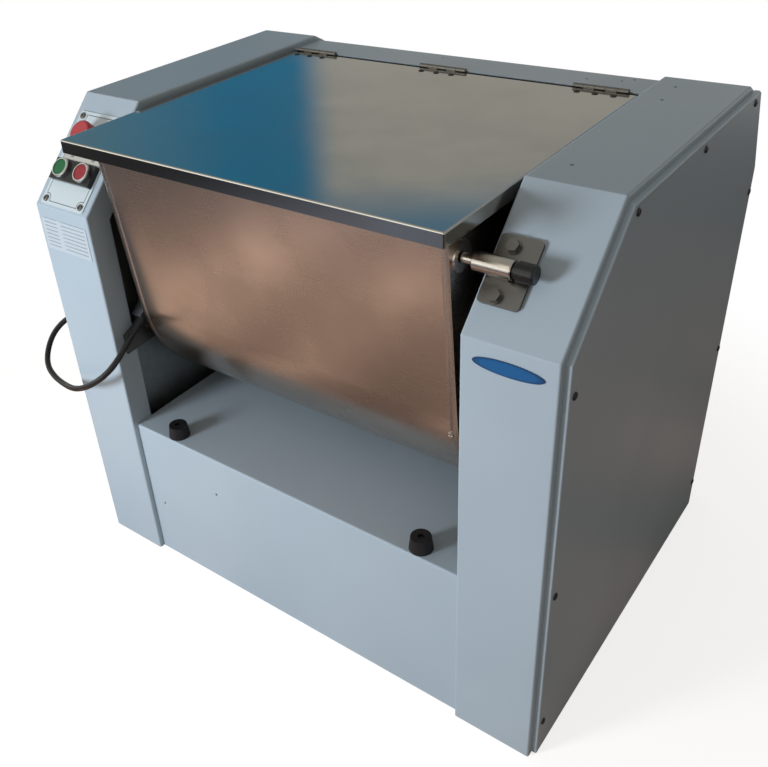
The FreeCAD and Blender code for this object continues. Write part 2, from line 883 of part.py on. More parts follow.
def bowed_blade(reach, x0, x1):
    """One bowed blade from the shaft to its rounded tip, pointing along +Y before it is turned."""
    half = arm_width / 2
    end = reach - half
    bow = arm_bulge * reach
    centre_z = (bow * bow - end * end / 4) / (2 * bow)
    middle = V(x0, end / 2, centre_z)
    radius = bow - centre_z
    lean = math.atan2(-centre_z, end / 2)

    def at(distance, share):
        angle = math.radians(180) - lean + share * (2 * lean - math.radians(180))
        return middle + V(0, distance * math.cos(angle), distance * math.sin(angle))

    tip = V(x0, end, 0)
    along = V(0, math.sin(lean), -math.cos(lean))
    edges = [
        Part.Arc(at(radius + half, 0), at(radius + half, 0.5), at(radius + half, 1)).toShape(),
        Part.Arc(at(radius + half, 1), tip + along * half, at(radius - half, 1)).toShape(),
        Part.Arc(at(radius - half, 1), at(radius - half, 0.5), at(radius - half, 0)).toShape(),
        Part.LineSegment(at(radius - half, 0), at(radius + half, 0)).toShape(),
    ]
    return Part.Face(Part.Wire(edges)).extrude(V(x1 - x0, 0, 0))


def double_arm(x, thick, turn):
    x0, x1 = x - thick / 2, x + thick / 2
    blade = bowed_blade(arm_reach, x0, x1)
    other = blade.copy()
    other.rotate(V(0, 0, 0), V(1, 0, 0), 180)
    hub = Part.makeCylinder(arm_hub_radius, x1 - x0, V(x0, 0, 0), V(1, 0, 0))
    arm = fused([hub, blade, other])
    arm = arm.cut(Part.makeCylinder(shaft_radius, x1 - x0, V(x0, 0, 0), V(1, 0, 0)))
    arm.rotate(V(0, 0, 0), V(1, 0, 0), turn)
    arm.translate(V(0, axis_y, axis_z))
    return arm


def agitator_arms():
    arms = []
    for i in range(arm_count):
        x = (i - (arm_count - 1) / 2) * arm_pitch
        arms.append(double_arm(x, arm_thick, i * arm_turn))
    for side in (-1, 1):
        x = side * (scraper_x + scraper_thick / 2)
        arms.append(double_arm(x, scraper_thick, 90 + side * arm_turn / 2))
    return arms


def gear_blank(teeth, phase, x0, x1, y, z):
    """Spur gear with involute flanks; a tooth is centred at the phase angle, in degrees."""
    pitch = gear_module * teeth / 2
    base = pitch * math.cos(math.radians(pressure_angle))
    tip = pitch + gear_module
    root = pitch - 1.25 * gear_module
    involute_at_pitch = math.tan(math.radians(pressure_angle)) - math.radians(pressure_angle)
    half_tooth = (math.pi * gear_module - tooth_backlash) / 4 / pitch

    def half_angle(radius):
        if radius <= base:
            return half_tooth + involute_at_pitch
        pressure = math.acos(base / radius)
        return half_tooth + involute_at_pitch - (math.tan(pressure) - pressure)

    radii = [root, max(base, root + 0.2 * gear_module), pitch, tip]
    corners = []
    for i in range(teeth):
        centre = math.radians(phase) + 2 * math.pi * i / teeth
        flank = [(r, centre - half_angle(r)) for r in radii]
        flank += [(r, centre + half_angle(r)) for r in reversed(radii)]
        corners += [V(x0, y + r * math.cos(a), z + r * math.sin(a)) for r, a in flank]
    face = Part.Face(Part.makePolygon(corners + corners[:1]))
    return face.extrude(V(x1 - x0, 0, 0))


def drive_gear():
    gear = gear_blank(gear_teeth, pinion_angle, gear_x, gear_x + gear_width, axis_y, axis_z)
    rim = pitch_gear - 1.25 * gear_module - gear_rim
    pocket = (gear_width - gear_web) / 2
    tools = [rod_x(journal_radius, gear_x - 1, gear_x + gear_width + 1, axis_y, axis_z)]
    for x0, x1 in ((gear_x - 1, gear_x + pocket), (gear_x + gear_width - pocket, gear_x + gear_width + 1)):
        tools.append(tube_x(rim, gear_hub_radius, x0, x1, axis_y, axis_z))
    hole_circle = (rim + gear_hub_radius) / 2
    for i in range(gear_holes):
        angle = 2 * math.pi * i / gear_holes
        y = axis_y + hole_circle * math.cos(angle)
        z = axis_z + hole_circle * math.sin(angle)
        tools.append(rod_x(gear_hole_radius, gear_x, gear_x + gear_width, y, z))
    return cut_all(gear, tools)


def drive_pinion():
    phase = pinion_angle + 180 + 180.0 / pinion_teeth
    pinion = gear_blank(pinion_teeth, phase, gear_x - 1, gear_x + gear_width + 1, counter_y, counter_z)
    return pinion.cut(rod_x(counter_radius, gear_x - 2, gear_x + gear_width + 2, counter_y, counter_z))


def countershaft():
    return rod_x(counter_radius, counter_hub_inner, shaft_end_x, counter_y, counter_z)


def pulley(radius, bore, z):
    groove = groove_width / 2
    floor = 0.7 * groove
    middle = pulley_x + pulley_width / 2
    profile = [
        (pulley_x, bore),
        (pulley_x, radius),
        (middle - groove, radius),
        (middle - floor, radius - groove_depth),
        (middle + floor, radius - groove_depth),
        (middle + groove, radius),
        (pulley_x + pulley_width, radius),
        (pulley_x + pulley_width, bore),
    ]
    return revolve_x(profile, counter_y, z)


def driven_pulley():
    wheel = pulley(large_pulley_radius, counter_radius, counter_z)
    ring = (large_pulley_radius + counter_radius) / 2
    holes = []
    for i in range(pulley_holes):
        angle = 2 * math.pi * (i + 0.25) / pulley_holes
        holes.append(rod_x(pulley_hole_radius, pulley_x - 1, pulley_x + pulley_width + 1,
                           counter_y + ring * math.cos(angle), counter_z + ring * math.sin(angle)))
    return cut_all(wheel, holes)


def belt_loop(shrink, x0, x1):
    """Flat plate bounded by the belt's line round both pulleys, taken in by shrink."""
    upper = large_pulley_radius - shrink
    lower = small_pulley_radius - shrink
    lean = math.asin((upper - lower) / (counter_z - motor_z))

    def at(radius, z, angle):
        return V(x0, counter_y + radius * math.cos(angle), z + radius * math.sin(angle))

    right, left = -lean, math.pi + lean
    over = [at(upper, counter_z, angle) for angle in (right, math.pi / 2, left)]
    under = [at(lower, motor_z, angle) for angle in (left, -math.pi / 2, right)]
    edges = [
        Part.Arc(*over).toShape(),
        Part.LineSegment(over[2], under[0]).toShape(),
        Part.Arc(*under).toShape(),
        Part.LineSegment(under[2], over[0]).toShape(),
    ]
    return Part.Face(Part.Wire(edges)).extrude(V(x1 - x0, 0, 0))


def drive_belt():
    middle = pulley_x + pulley_width / 2
    half = 0.62 * belt_width / 2
    outer = belt_loop(belt_gap, middle - half, middle + half)
    return outer.cut(belt_loop(belt_gap + belt_depth, middle - belt_width, middle + belt_width))


def motor_body():
    """Finned motor on two feet, with its terminal box on the back."""
    y, z = counter_y, motor_z
    cap_end = motor_left + motor_cap
    face = motor_right - motor_flange
    parts = [rod_x(motor_radius - motor_fin_depth, motor_left, motor_right, y, z)]
    parts.append(rod_x(motor_radius, motor_left, cap_end, y, z))
    parts.append(rod_x(motor_radius, face, motor_right, y, z))
    pitch = (face - cap_end) / (motor_fin_count + 0.5)
    for i in range(motor_fin_count):
        x = cap_end + (i + 0.7) * pitch
        parts.append(rod_x(motor_radius, x, x + motor_fin, y, z))
    foot_low = sheet + mount_thick
    half = motor_foot_width / 2
    for side in (-1, 1):
        edge = y + side * (motor_radius - half)
        parts.append(box(cap_end, face, edge - half, edge + half, foot_low, foot_low + motor_foot_height))
        parts.append(box(cap_end, face, edge - half / 3, edge + half / 3, foot_low, z - motor_radius / 3))
    box_x = (cap_end + face) / 2
    parts.append(box(box_x - terminal_width / 2, box_x + terminal_width / 2, y + motor_radius / 2,
                     y + motor_radius + terminal_reach, z - terminal_width / 2, z + terminal_width / 2))
    body = fused(parts)
    return body.cut(rod_x(motor_shaft_radius + running_fit, motor_right - motor_bore_depth, motor_right + 1, y, z))


def motor_shaft():
    return rod_x(motor_shaft_radius, motor_right - motor_bore_depth + 1, shaft_end_x, counter_y, motor_z)


def lid_panel():
    bottom = lid_top_z - lid_lip
    skin = box(-lid_half, lid_half, lid_front_y, lid_back_y, bottom, lid_top_z)
    creases = []
    for edge in skin.Edges:
        reach = edge.BoundBox
        front_corner = reach.YMax < lid_front_y + 0.01 and reach.XLength < 0.01
        top_side = reach.ZMin > lid_top_z - 0.01 and reach.YMin < lid_front_y + 0.01
        if front_corner or top_side:
            creases.append(edge)
    skin = skin.makeFillet(lid_bend, creases)
    hollow = box(-lid_half + lid_sheet, lid_half - lid_sheet, lid_front_y + lid_sheet, lid_back_y + 1,
                 bottom - 1, lid_top_z - lid_sheet)
    return skin.cut(hollow)


def knuckles(centre, fixed):
    """Every other fifth of the hinge barrel; the fixed leaf has three, the lid leaf two."""
    gap = 0.4
    fifth = hinge_length / 5
    pieces = []
    for i in range(5):
        if (i % 2 == 0) == fixed:
            x0 = centre - hinge_length / 2 + i * fifth + gap / 2
            pieces.append((x0, x0 + fifth - gap))
    return pieces


def hinge_leaf(centre, fixed):
    low = lid_top_z - lid_sheet - leaf_thick
    half = hinge_length / 2
    clear = knuckle_radius + 0.6
    if fixed:
        low = bridge_top_z - sheet - leaf_thick
        leaf = box(centre - half, centre + half, hinge_y + clear, hinge_y + leaf_reach, low, low + leaf_thick)
    else:
        leaf = box(centre - half, centre + half, hinge_y - leaf_reach, hinge_y - clear, low, low + leaf_thick)
    parts = [leaf]
    for x0, x1 in knuckles(centre, fixed):
        parts.append(rod_x(knuckle_radius, x0, x1, hinge_y, hinge_z))
        side = 1 if fixed else -1
        near = hinge_y + side * (pin_radius + 0.4)
        far = hinge_y + side * clear
        parts.append(box(x0, x1, min(near, far), max(near, far), low, hinge_z))
    bore = rod_x(pin_radius + running_fit, centre - half - 1, centre + half + 1, hinge_y, hinge_z)
    return fused(parts).cut(bore)


def hinge_pins():
    half = hinge_length / 2
    return [rod_x(pin_radius, x - half, x + half, hinge_y, hinge_z) for x in hinge_xs]


def hinge_screws():
    screws = []
    for centre in hinge_xs:
        for step in (-1, 0, 1):
            x = centre + step * hinge_screw_pitch
            screws.append(rod_z(hinge_screw_radius, lid_top_z, lid_top_z + hinge_screw_head, x, hinge_screw_y))
    return screws


def control_plate():
    plate = box(plate_left, plate_right, plate_low_u, plate_high_u, 0, control_sheet)
    upright = [e for e in plate.Edges if e.BoundBox.ZLength > control_sheet / 2]
    plate = plate.makeFillet(plate_corner, upright)
    holes = [rod_z(button_hole, -1, 2 * control_sheet, x, button_u) for x in button_xs]
    holes.append(rod_z(button_hole, -1, 2 * control_sheet, -column_middle, estop_u))
    return on_facet(cut_all(plate, holes))


def button_block():
    middle = -column_middle
    block = box(middle - block_half, middle + block_half, block_low_u, block_high_u,
                control_sheet, control_sheet + block_height)
    holes = [rod_z(button_hole, 0, 2 * block_height, x, button_u) for x in button_xs]
    return on_facet(cut_all(block, holes))


def button_bezels():
    low = control_sheet + block_height
    rings = []
    for x in button_xs:
        ring = rod_z(bezel_radius, low, low + bezel_height, x, button_u)
        rim = [e for e in ring.Edges if abs(e.BoundBox.ZMin - low - bezel_height) < 0.01]
        ring = ring.makeChamfer(bezel_chamfer, rim)
        rings.append(on_facet(ring.cut(rod_z(button_hole, 0, 4 * low, x, button_u))))
    return rings


def push_button(x):
    """Flush cap with its plunger; the cap's face sits a little under the bezel."""
    low = control_sheet + block_height
    cap = rod_z(button_radius, low + 1.5, low + bezel_height - 1, x, button_u)
    stem = rod_z(button_stem_radius, -sheet - button_travel, low + 2, x, button_u)
    return on_facet(fused([cap, stem]))


def estop_collar():
    collar = rod_z(estop_collar_radius, control_sheet, control_sheet + estop_collar_height, -column_middle, estop_u)
    bore = rod_z(estop_stem_radius + running_fit, 0, 4 * estop_collar_height, -column_middle, estop_u)
    return on_facet(collar.cut(bore))


def estop_stem():
    return on_facet(rod_z(estop_stem_radius, -2 * sheet, estop_head_low + estop_socket, -column_middle, estop_u))


def estop_mushroom():
    low, high = estop_head_low, estop_head_high
    head = rod_z(estop_head_radius, low, high, -column_middle, estop_u)
    head = head.makeFillet(estop_round, [e for e in head.Edges if abs(e.BoundBox.ZMin - high) < 0.01])
    bore = rod_z(estop_stem_radius + running_fit, low - 1, low + estop_socket + 0.3, -column_middle, estop_u)
    return on_facet(head.cut(bore))


def contact_blocks():
    """Contact blocks under the facet, one for each control."""
    low = -sheet - contact_depth
    blocks = []
    for x, u in ((button_xs[0], button_u), (button_xs[1], button_u), (-column_middle, estop_u)):
        half = contact_width / 2
        block = box(x - half, x + half, u - half, u + half, low, -sheet)
        blocks.append(on_facet(block.cut(rod_z(button_hole, -sheet - contact_socket, 0, x, u))))
    return blocks


def contactor_box():
    """Open case fixed to the bearing plate, its lid and the contactor inside."""
    outer_x = -plate_x - plate_thick
    lid_x = outer_x - contactor_depth
    y0, y1 = contactor_y - contactor_size / 2, contactor_y + contactor_size / 2
    z0, z1 = contactor_z - contactor_size / 2, contactor_z + contactor_size / 2
    case = box(lid_x, outer_x, y0, y1, z0, z1)
    case = case.cut(box(lid_x - 1, outer_x - sheet, y0 + sheet, y1 - sheet, z0 + sheet, z1 - sheet))
    rim = contactor_rim
    lid = box(lid_x - sheet, lid_x, y0 - rim, y1 + rim, z0 - rim, z1 + rim)
    half = contactor_inner_size / 2
    inner_x = outer_x - sheet - contactor_inner_depth
    inner = box(inner_x, outer_x - sheet, contactor_y - half, contactor_y + half,
                contactor_z - half, contactor_z + half)
    return [case, lid, inner]


def oval_badge():
    centre = V(column_middle, 0, facet_bend_z - badge_drop)
    edge = Part.Ellipse(centre, badge_half_length, badge_half_height).toShape()
    edge.rotate(centre, V(1, 0, 0), 90)
    return Part.Face(Part.Wire([edge])).extrude(V(0, -badge_thick, 0))


def data_plate():
    middle_z = facet_bend_z - data_drop
    return box(-column_middle - data_width / 2, -column_middle + data_width / 2, -data_thick, 0,
               middle_z - data_height / 2, middle_z + data_height / 2)


def rubber_bumpers():
    pads = []
    for x in bumper_xs:
        pad = Part.makeCone(bumper_radius, bumper_top_radius, bumper_height, V(x, bumper_y, base_top_z))
        low = base_top_z + bumper_height - bumper_recess - screw_head
        pads.append(pad.cut(rod_z(screw_radius, low, low + bumper_height, x, bumper_y)))
    return pads


def plunger_rod(radius, x0, x1):
    """Round bar on the plunger's own axis, drawn in the facet's frame."""
    return Part.makeCylinder(radius, x1 - x0, V(x0, plunger_u, plunger_c), V(1, 0, 0))


def plunger_bracket():
    plate = box(bracket_left, bracket_right, bracket_low_u, bracket_high_u, 0, bracket_thick)
    upright = [e for e in plate.Edges if e.BoundBox.ZLength > bracket_thick / 2]
    plate = plate.makeFillet(bracket_corner, upright)
    half = saddle_width / 2
    saddle = box(bracket_left + saddle_inset, sleeve_right - saddle_inset, plunger_u - half, plunger_u + half,
                 bracket_thick, plunger_c)
    saddle = saddle.cut(plunger_rod(sleeve_radius, bracket_left, bracket_right))
    holes = [rod_z(bolt_radius, -1, 2 * bracket_thick, column_inner + x, u) for x, u in bracket_bolts]
    return on_facet(cut_all(fused([plate, saddle]), holes))


def plunger_bolts():
    bolts = []
    seat = bracket_thick + washer_thick
    for step, u in bracket_bolts:
        x = column_inner + step
        corners = []
        for i in range(7):
            angle = math.radians(60 * i + 15)
            corners.append(V(x + bolt_hex_radius * math.cos(angle), u + bolt_hex_radius * math.sin(angle), seat))
        head = Part.Face(Part.makePolygon(corners)).extrude(V(0, 0, bolt_hex_height))
        washer = rod_z(washer_radius, bracket_thick, seat, x, u)
        shank = rod_z(bolt_radius, -bolt_shank, bracket_thick, x, u)
        bolts.append(on_facet(fused([head, washer, shank])))
    return bolts


def plunger_sleeve():
    body = plunger_rod(sleeve_radius, sleeve_left, sleeve_right)
    ends = [e for e in body.Edges if e.BoundBox.XLength < 0.01]
    body = body.makeChamfer(1.0, ends)
    tools = [
        plunger_rod(plunger_radius + running_fit, sleeve_left - 1, sleeve_left + sleeve_nose),
        plunger_rod(spring_chamber, sleeve_left + sleeve_nose, sleeve_right - sleeve_wall),
        plunger_rod(rod_radius + running_fit, sleeve_right - sleeve_wall, sleeve_right + 1),
    ]
    return on_facet(cut_all(body, tools))


def plunger_pin():
    tip = bowl_half + lock_boss + plunger_tip_gap
    nose = plunger_rod(plunger_radius, tip, collar_left)
    nose = nose.makeChamfer(1.5, [e for e in nose.Edges if abs(e.BoundBox.XMax - tip) < 0.01])
    collar = plunger_rod(collar_radius, collar_left, collar_left + collar_length)
    rod = plunger_rod(rod_radius, collar_left, sleeve_right + knob_gap + knob_socket)
    return on_facet(fused([nose, collar, rod]))


def plunger_knob():
    low = sleeve_right + knob_gap
    head = plunger_rod(knob_radius, low + knob_neck, low + knob_length)
    head = head.makeFillet(knob_round, [e for e in head.Edges if abs(e.BoundBox.XMin - low - knob_length) < 0.01])
    neck = plunger_rod(knob_neck_radius, low, low + knob_neck + 1)
    return on_facet(fused([head, neck]).cut(plunger_rod(rod_radius, low - 1, low + knob_socket)))


def plunger_spring():
    """Compression spring drawn as a closed ring of waves, as long as it is with the pin home."""
    low = collar_left + collar_length
    high = sleeve_right - sleeve_wall
    pitch = (high - low) / spring_turns
    profile = [(low, spring_inner)]
    for i in range(spring_turns):
        x = low + i * pitch
        profile += [(x, spring_wave), (x + pitch / 2, spring_outer)]
    profile += [(high, spring_wave), (high, spring_inner)]
    corners = [V(x, plunger_u + radius, plunger_c) for x, radius in profile]
    face = Part.Face(Part.makePolygon(corners + corners[:1]))
    return on_facet(face.revolve(V(0, plunger_u, plunger_c), V(1, 0, 0), 360))


def in_switch_frame(shape):
    """Y runs along the switch body from its lead end, Z is square to it."""
    placed = shape.copy()
    placed.rotate(V(0, 0, 0), V(1, 0, 0), switch_tilt)
    placed.translate(V(0, switch_y, switch_z))
    return placed


def switch_bracket():
    """Lug welded to the column's return flange, with a shelf bent out under the switch."""
    lug = [(switch_y + step, switch_z + rise) for step, rise in lug_outline]
    plate = prism_x(lug, -column_inner, switch_left)
    low = -switch_half_height - lug_thick
    end = switch_length - shelf_short
    shelf = box(-column_inner, switch_right, 0, end, low, -switch_half_height)
    back = box(-column_inner, switch_left, 0, end, low, switch_half_height)
    step, rise = lug_bolt
    bolt = rod_x(lug_bolt_radius, switch_left, switch_left + lug_bolt_head, switch_y + step, switch_z + rise)
    return fused([plate, in_switch_frame(shelf), in_switch_frame(back), bolt])


def position_switch():
    body = box(switch_left, switch_right, 0, switch_length, -switch_half_height, switch_half_height)
    pin = rod_x(switch_pin_radius, switch_right, -bowl_half - switch_pin_gap, switch_length / 2, 0)
    return in_switch_frame(fused([body, pin]))


def route_exit():
    """Where the lead leaves the boot on the switch."""
    lean = math.radians(switch_tilt)
    return V(lead_x(), switch_y - boot_length * math.cos(lean), switch_z - boot_length * math.sin(lean))


def lead_x():
    return switch_right - boot_inset


def lead_end():
    return V(-side_cover_x - gland_nut - gland_boot, gland_y, gland_z)


def switch_boot():
    boot = Part.makeCone(boot_wide, boot_narrow, boot_length, V(lead_x(), 0, 0), V(0, -1, 0))
    return in_switch_frame(boot)


def lead_gland():
    nut_x = -side_cover_x - gland_nut
    nut = rod_x(gland_nut_radius, nut_x, -side_cover_x, gland_y, gland_z)
    boot = Part.makeCone(boot_wide, boot_narrow, gland_boot, V(nut_x, gland_y, gland_z), V(-1, 0, 0))
    return fused([nut, boot])


def switch_lead():
    """Straight runs joined by tangent arcs; prints each arc's radius and the volume ratio."""
    lean = math.radians(switch_tilt)
    points = [route_exit(), route_exit() + V(0, -math.cos(lean), -math.sin(lean)) * lead_first_run]
    for share, depth, height in lead_route:
        points.append(V(-column_inner - share * (side_cover_x - column_inner), depth, switch_z + height))
    points += [lead_end() - V(lead_last_run, 0, 0), lead_end()]
    edges = []
    start = points[0]
    length = 0.0
    radii = []
    for i in range(1, len(points) - 1):
        before = points[i] - points[i - 1]
        after = points[i + 1] - points[i]
        shorter = min(before.Length, after.Length)
        turn = before.getAngle(after)
        radius = 0.45 * shorter / math.tan(turn / 2)
        radii.append(round(radius, 1))
        into = before.normalize()
        out = after.normalize()
        arc_start = points[i] - into * (0.45 * shorter)
        arc_end = points[i] + out * (0.45 * shorter)
        inward = (out - into).normalize()
        apex = points[i] + inward * (radius / math.cos(turn / 2) - radius)
        edges.append(Part.LineSegment(start, arc_start).toShape())
        edges.append(Part.Arc(arc_start, apex, arc_end).toShape())
        length += (arc_start - start).Length + radius * turn
        start = arc_end
    edges.append(Part.LineSegment(start, points[-1]).toShape())
    length += (points[-1] - start).Length
    path = Part.Wire(edges)
    first = (points[1] - points[0]).normalize()
    section = Part.Wire([Part.Circle(points[0], first, lead_radius).toShape()])
    tube = path.makePipeShell([section], True, False, 2)
    print("lead length", round(length, 1), "arc radii", radii)
    print("lead volume share", round(tube.Volume / (math.pi * lead_radius ** 2 * length), 4))
    return tube


def build():
    os.makedirs("parts", exist_ok=True)
    nodes = {
        "right_column_housing": right_column(),
        "left_column_housing": left_column(),
        "right_side_cover": side_cover(),
        "left_side_cover": left_side_cover(),
        "panel_screws": panel_screws(),
        "base_housing": base_housing(),
        "base_tray": base_tray(),
        "motor_mount": motor_mount(),
        "rear_bridge": rear_bridge(),
        "chamber_back": chamber_back(),
        "rear_cover": rear_cover(),
        "right_bearing_plate": right_bearing_plate(),
        "left_bearing_plate": left_bearing_plate(),
        "bearing_hubs": both_sides(bearing_hub()) + [counter_hub()],
        "ball_bearings": ball_bearings(),
        "hub_bolts": hub_bolts_group(),
        "motor_body": motor_body(),
        "motor_shaft": motor_shaft(),
        "motor_pulley": pulley(small_pulley_radius, motor_shaft_radius, motor_z),
        "drive_belt": drive_belt(),
        "countershaft": countershaft(),
        "driven_pulley": driven_pulley(),
        "drive_pinion": drive_pinion(),
        "drive_gear": drive_gear(),
        "agitator_shaft": agitator_shaft(),
        "agitator_arms": agitator_arms(),
        "bowl_shell": bowl_shell(),
        "bowl_end_left": bowl_end_left(),
        "bowl_end_right": bowl_end_right(),
        "bowl_rings": bowl_rings(),
        "bowl_bushes": bowl_bushes(),
        "shaft_seals": shaft_seals(),
        "lid_panel": lid_panel(),
        "hinge_fixed_leaves": [hinge_leaf(x, True) for x in hinge_xs],
        "hinge_lid_leaves": [hinge_leaf(x, False) for x in hinge_xs],
        "hinge_pins": hinge_pins(),
        "hinge_screws": hinge_screws(),
        "control_plate": control_plate(),
        "button_block": button_block(),
        "button_bezels": button_bezels(),
        "start_button": push_button(button_xs[0]),
        "stop_button": push_button(button_xs[1]),
        "estop_collar": estop_collar(),
        "estop_stem": estop_stem(),
        "estop_mushroom": estop_mushroom(),
        "contact_blocks": contact_blocks(),
        "contactor_box": contactor_box(),
        "oval_badge": oval_badge(),
        "data_plate": data_plate(),
        "rubber_bumpers": rubber_bumpers(),
        "plunger_bracket": plunger_bracket(),
        "plunger_bolts": plunger_bolts(),
        "plunger_sleeve": plunger_sleeve(),
        "plunger_pin": plunger_pin(),
        "plunger_knob": plunger_knob(),
        "plunger_spring": plunger_spring(),
        "switch_bracket": switch_bracket(),
        "position_switch": position_switch(),
        "lead_strain_reliefs": [switch_boot(), lead_gland()],
    }
    for name, shapes in nodes.items():
        export(name, shapes)
    export("switch_lead", switch_lead())
    print("nodes", len(nodes) + 1)


build()
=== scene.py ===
import math

import bpy
import numpy as np
from mathutils import Matrix, Vector


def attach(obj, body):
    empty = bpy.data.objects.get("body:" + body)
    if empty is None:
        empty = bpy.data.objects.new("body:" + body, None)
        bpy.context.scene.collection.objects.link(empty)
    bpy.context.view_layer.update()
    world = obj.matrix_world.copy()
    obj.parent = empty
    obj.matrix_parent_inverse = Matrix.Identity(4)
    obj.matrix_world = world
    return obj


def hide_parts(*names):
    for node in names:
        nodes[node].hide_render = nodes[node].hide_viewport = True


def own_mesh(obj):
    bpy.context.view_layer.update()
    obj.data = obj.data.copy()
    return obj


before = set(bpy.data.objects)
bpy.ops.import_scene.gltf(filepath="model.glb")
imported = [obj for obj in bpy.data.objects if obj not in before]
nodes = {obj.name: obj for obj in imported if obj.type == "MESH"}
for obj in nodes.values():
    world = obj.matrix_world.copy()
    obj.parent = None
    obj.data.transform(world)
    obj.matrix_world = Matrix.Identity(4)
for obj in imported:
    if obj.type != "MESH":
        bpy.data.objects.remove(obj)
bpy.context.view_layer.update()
print("frame loaded,", len(nodes), "solids")

depthOffset = 310.25  # mm from the columns' front faces to the middle of the footprint
facetTurn = math.radians(45)  # lean of both sloping facets
facetFootHeight = 622.0  # mm, where the facets start


# millimetres measured from the columns' front faces become metres in the frame
def toFrame(points):
    return (np.asarray(points, float) - [0.0, depthOffset, 0.0]) / 1000.0


# x, distance up the facet and height over it: the last two are turned by its lean and lifted to its foot
def onFacet(points):
    x, up, out = np.moveaxis(np.asarray(points, float), -1, 0)
    c, s = math.cos(facetTurn), math.sin(facetTurn)
    return np.stack([x, up * c - out * s, facetFootHeight + up * s + out * c], -1)


# a new object that holds this data, in the scene
def addObject(name, data):
    holder = bpy.data.objects.new(name, data)
    bpy.context.scene.collection.objects.link(holder)
    return holder


# colours and nodes


# each sRGB channel is divided by 12.92 when dark, and otherwise raised to the 2.4 after the usual offset
def toLinear(hexColour):
    channels = [int(hexColour[i : i + 2], 16) / 255 for i in (1, 3, 5)]
    return [c / 12.92 if c <= 0.04045 else ((c + 0.055) / 1.055) ** 2.4 for c in channels] + [1.0]


# a grey level in all three channels
def grey(value):
    return [value, value, value, 1.0]


mixFactor, floatA, floatB, colourA, colourB = 0, 2, 3, 6, 7  # inputs of a Mix node
mixedFloat, mixedColour = 0, 2  # and its outputs


# settings are a node's properties, inputs or colour stops; a link comes from a socket or a node's first output
def addNode(tree, kind, settings=None, links=None):
    node = tree.nodes.new(kind)
    for key, value in (settings or {}).items():
        if key == "stops":
            for stop, (position, colour) in zip(node.color_ramp.elements, value):
                stop.position, stop.color = position, colour
        elif isinstance(key, str) and hasattr(node, key):
            setattr(node, key, value)
        else:
            node.inputs[key].default_value = value
    for key, source in (links or {}).items():
        output = source if isinstance(source, bpy.types.NodeSocket) else source.outputs[0]
        tree.links.new(output, node.inputs[key])
    return node


# settings for a colour ramp: straight from the first colour, or grey level, to the second between two positions
def rampOf(edges, ends):
    return {"stops": list(zip(edges, [toLinear(end) if isinstance(end, str) else grey(end) for end in ends]))}


# settings for a smooth step, 3t squared less 2t cubed, from the first end to the second between two values
def smoothStep(edges, ends=(0.0, 1.0)):
    low, high = edges
    return {
        "interpolation_type": "SMOOTHSTEP",
        "From Min": low,
        "From Max": high,
        "To Min": ends[0],
        "To Max": ends[1],
    }


# a material with its shader's plain values set, and the place on the piece for its patterns
def startMaterial(name, shaderValues):
    material = bpy.data.materials.new(name)
    material.use_nodes = True
    tree = material.node_tree
    shader = tree.nodes["Principled BSDF"]
    for key, value in shaderValues.items():
        shader.inputs[key].default_value = value
    place = addNode(tree, "ShaderNodeTexCoord").outputs["Object"]
    return material, tree, shader, place


# each input of the shader from a node's first output
def feedShader(tree, shader, sources):
    for key, node in sources.items():
        tree.links.new(node.outputs[0], shader.inputs[key])


# materials

# stoved semi-gloss powder paint on folded steel: one even pale blue-grey, soft highlights, faint orange peel
paintLook = {
    "colours": ("#b2bfc7", "#b7c4cc"),  # where the coat is a shade thinner, and elsewhere
    "roughness": (0.39, 0.34),
    "cloudSize": 220.0,  # mm
    "cloudEdges": (0.3, 0.7),  # of the noise, from the thinner coat to the full one
    "cloudDetail": 2.0,
    "peelSize": 1.6,  # mm, orange peel
    "peelDetail": 1.0,
    "peelHeight": 0.008,  # mm
    "peelStrength": 0.1,
}


# slow clouds turn the tint and the gloss together, and a fine noise gives the peel
def sprayedPaint():
    look = paintLook
    material, tree, shader, place = startMaterial("stovedPaintOnSteel", {"IOR": 1.5})
    cloudy = {"Scale": 1000 / look["cloudSize"], "Detail": look["cloudDetail"]}
    clouds = addNode(tree, "ShaderNodeTexNoise", cloudy, {"Vector": place})
    tint = addNode(tree, "ShaderNodeValToRGB", rampOf(look["cloudEdges"], look["colours"]), {"Fac": clouds})
    rough = addNode(tree, "ShaderNodeValToRGB", rampOf(look["cloudEdges"], look["roughness"]), {"Fac": clouds})
    peeled = {"Scale": 1000 / look["peelSize"], "Detail": look["peelDetail"]}
    peel = addNode(tree, "ShaderNodeTexNoise", peeled, {"Vector": place})
    relief = {"Strength": look["peelStrength"], "Distance": look["peelHeight"] / 1000}
    bump = addNode(tree, "ShaderNodeBump", relief, {"Height": peel})
    feedShader(tree, shader, {"Base Color": tint, "Roughness": rough, "Normal": bump})
    return material


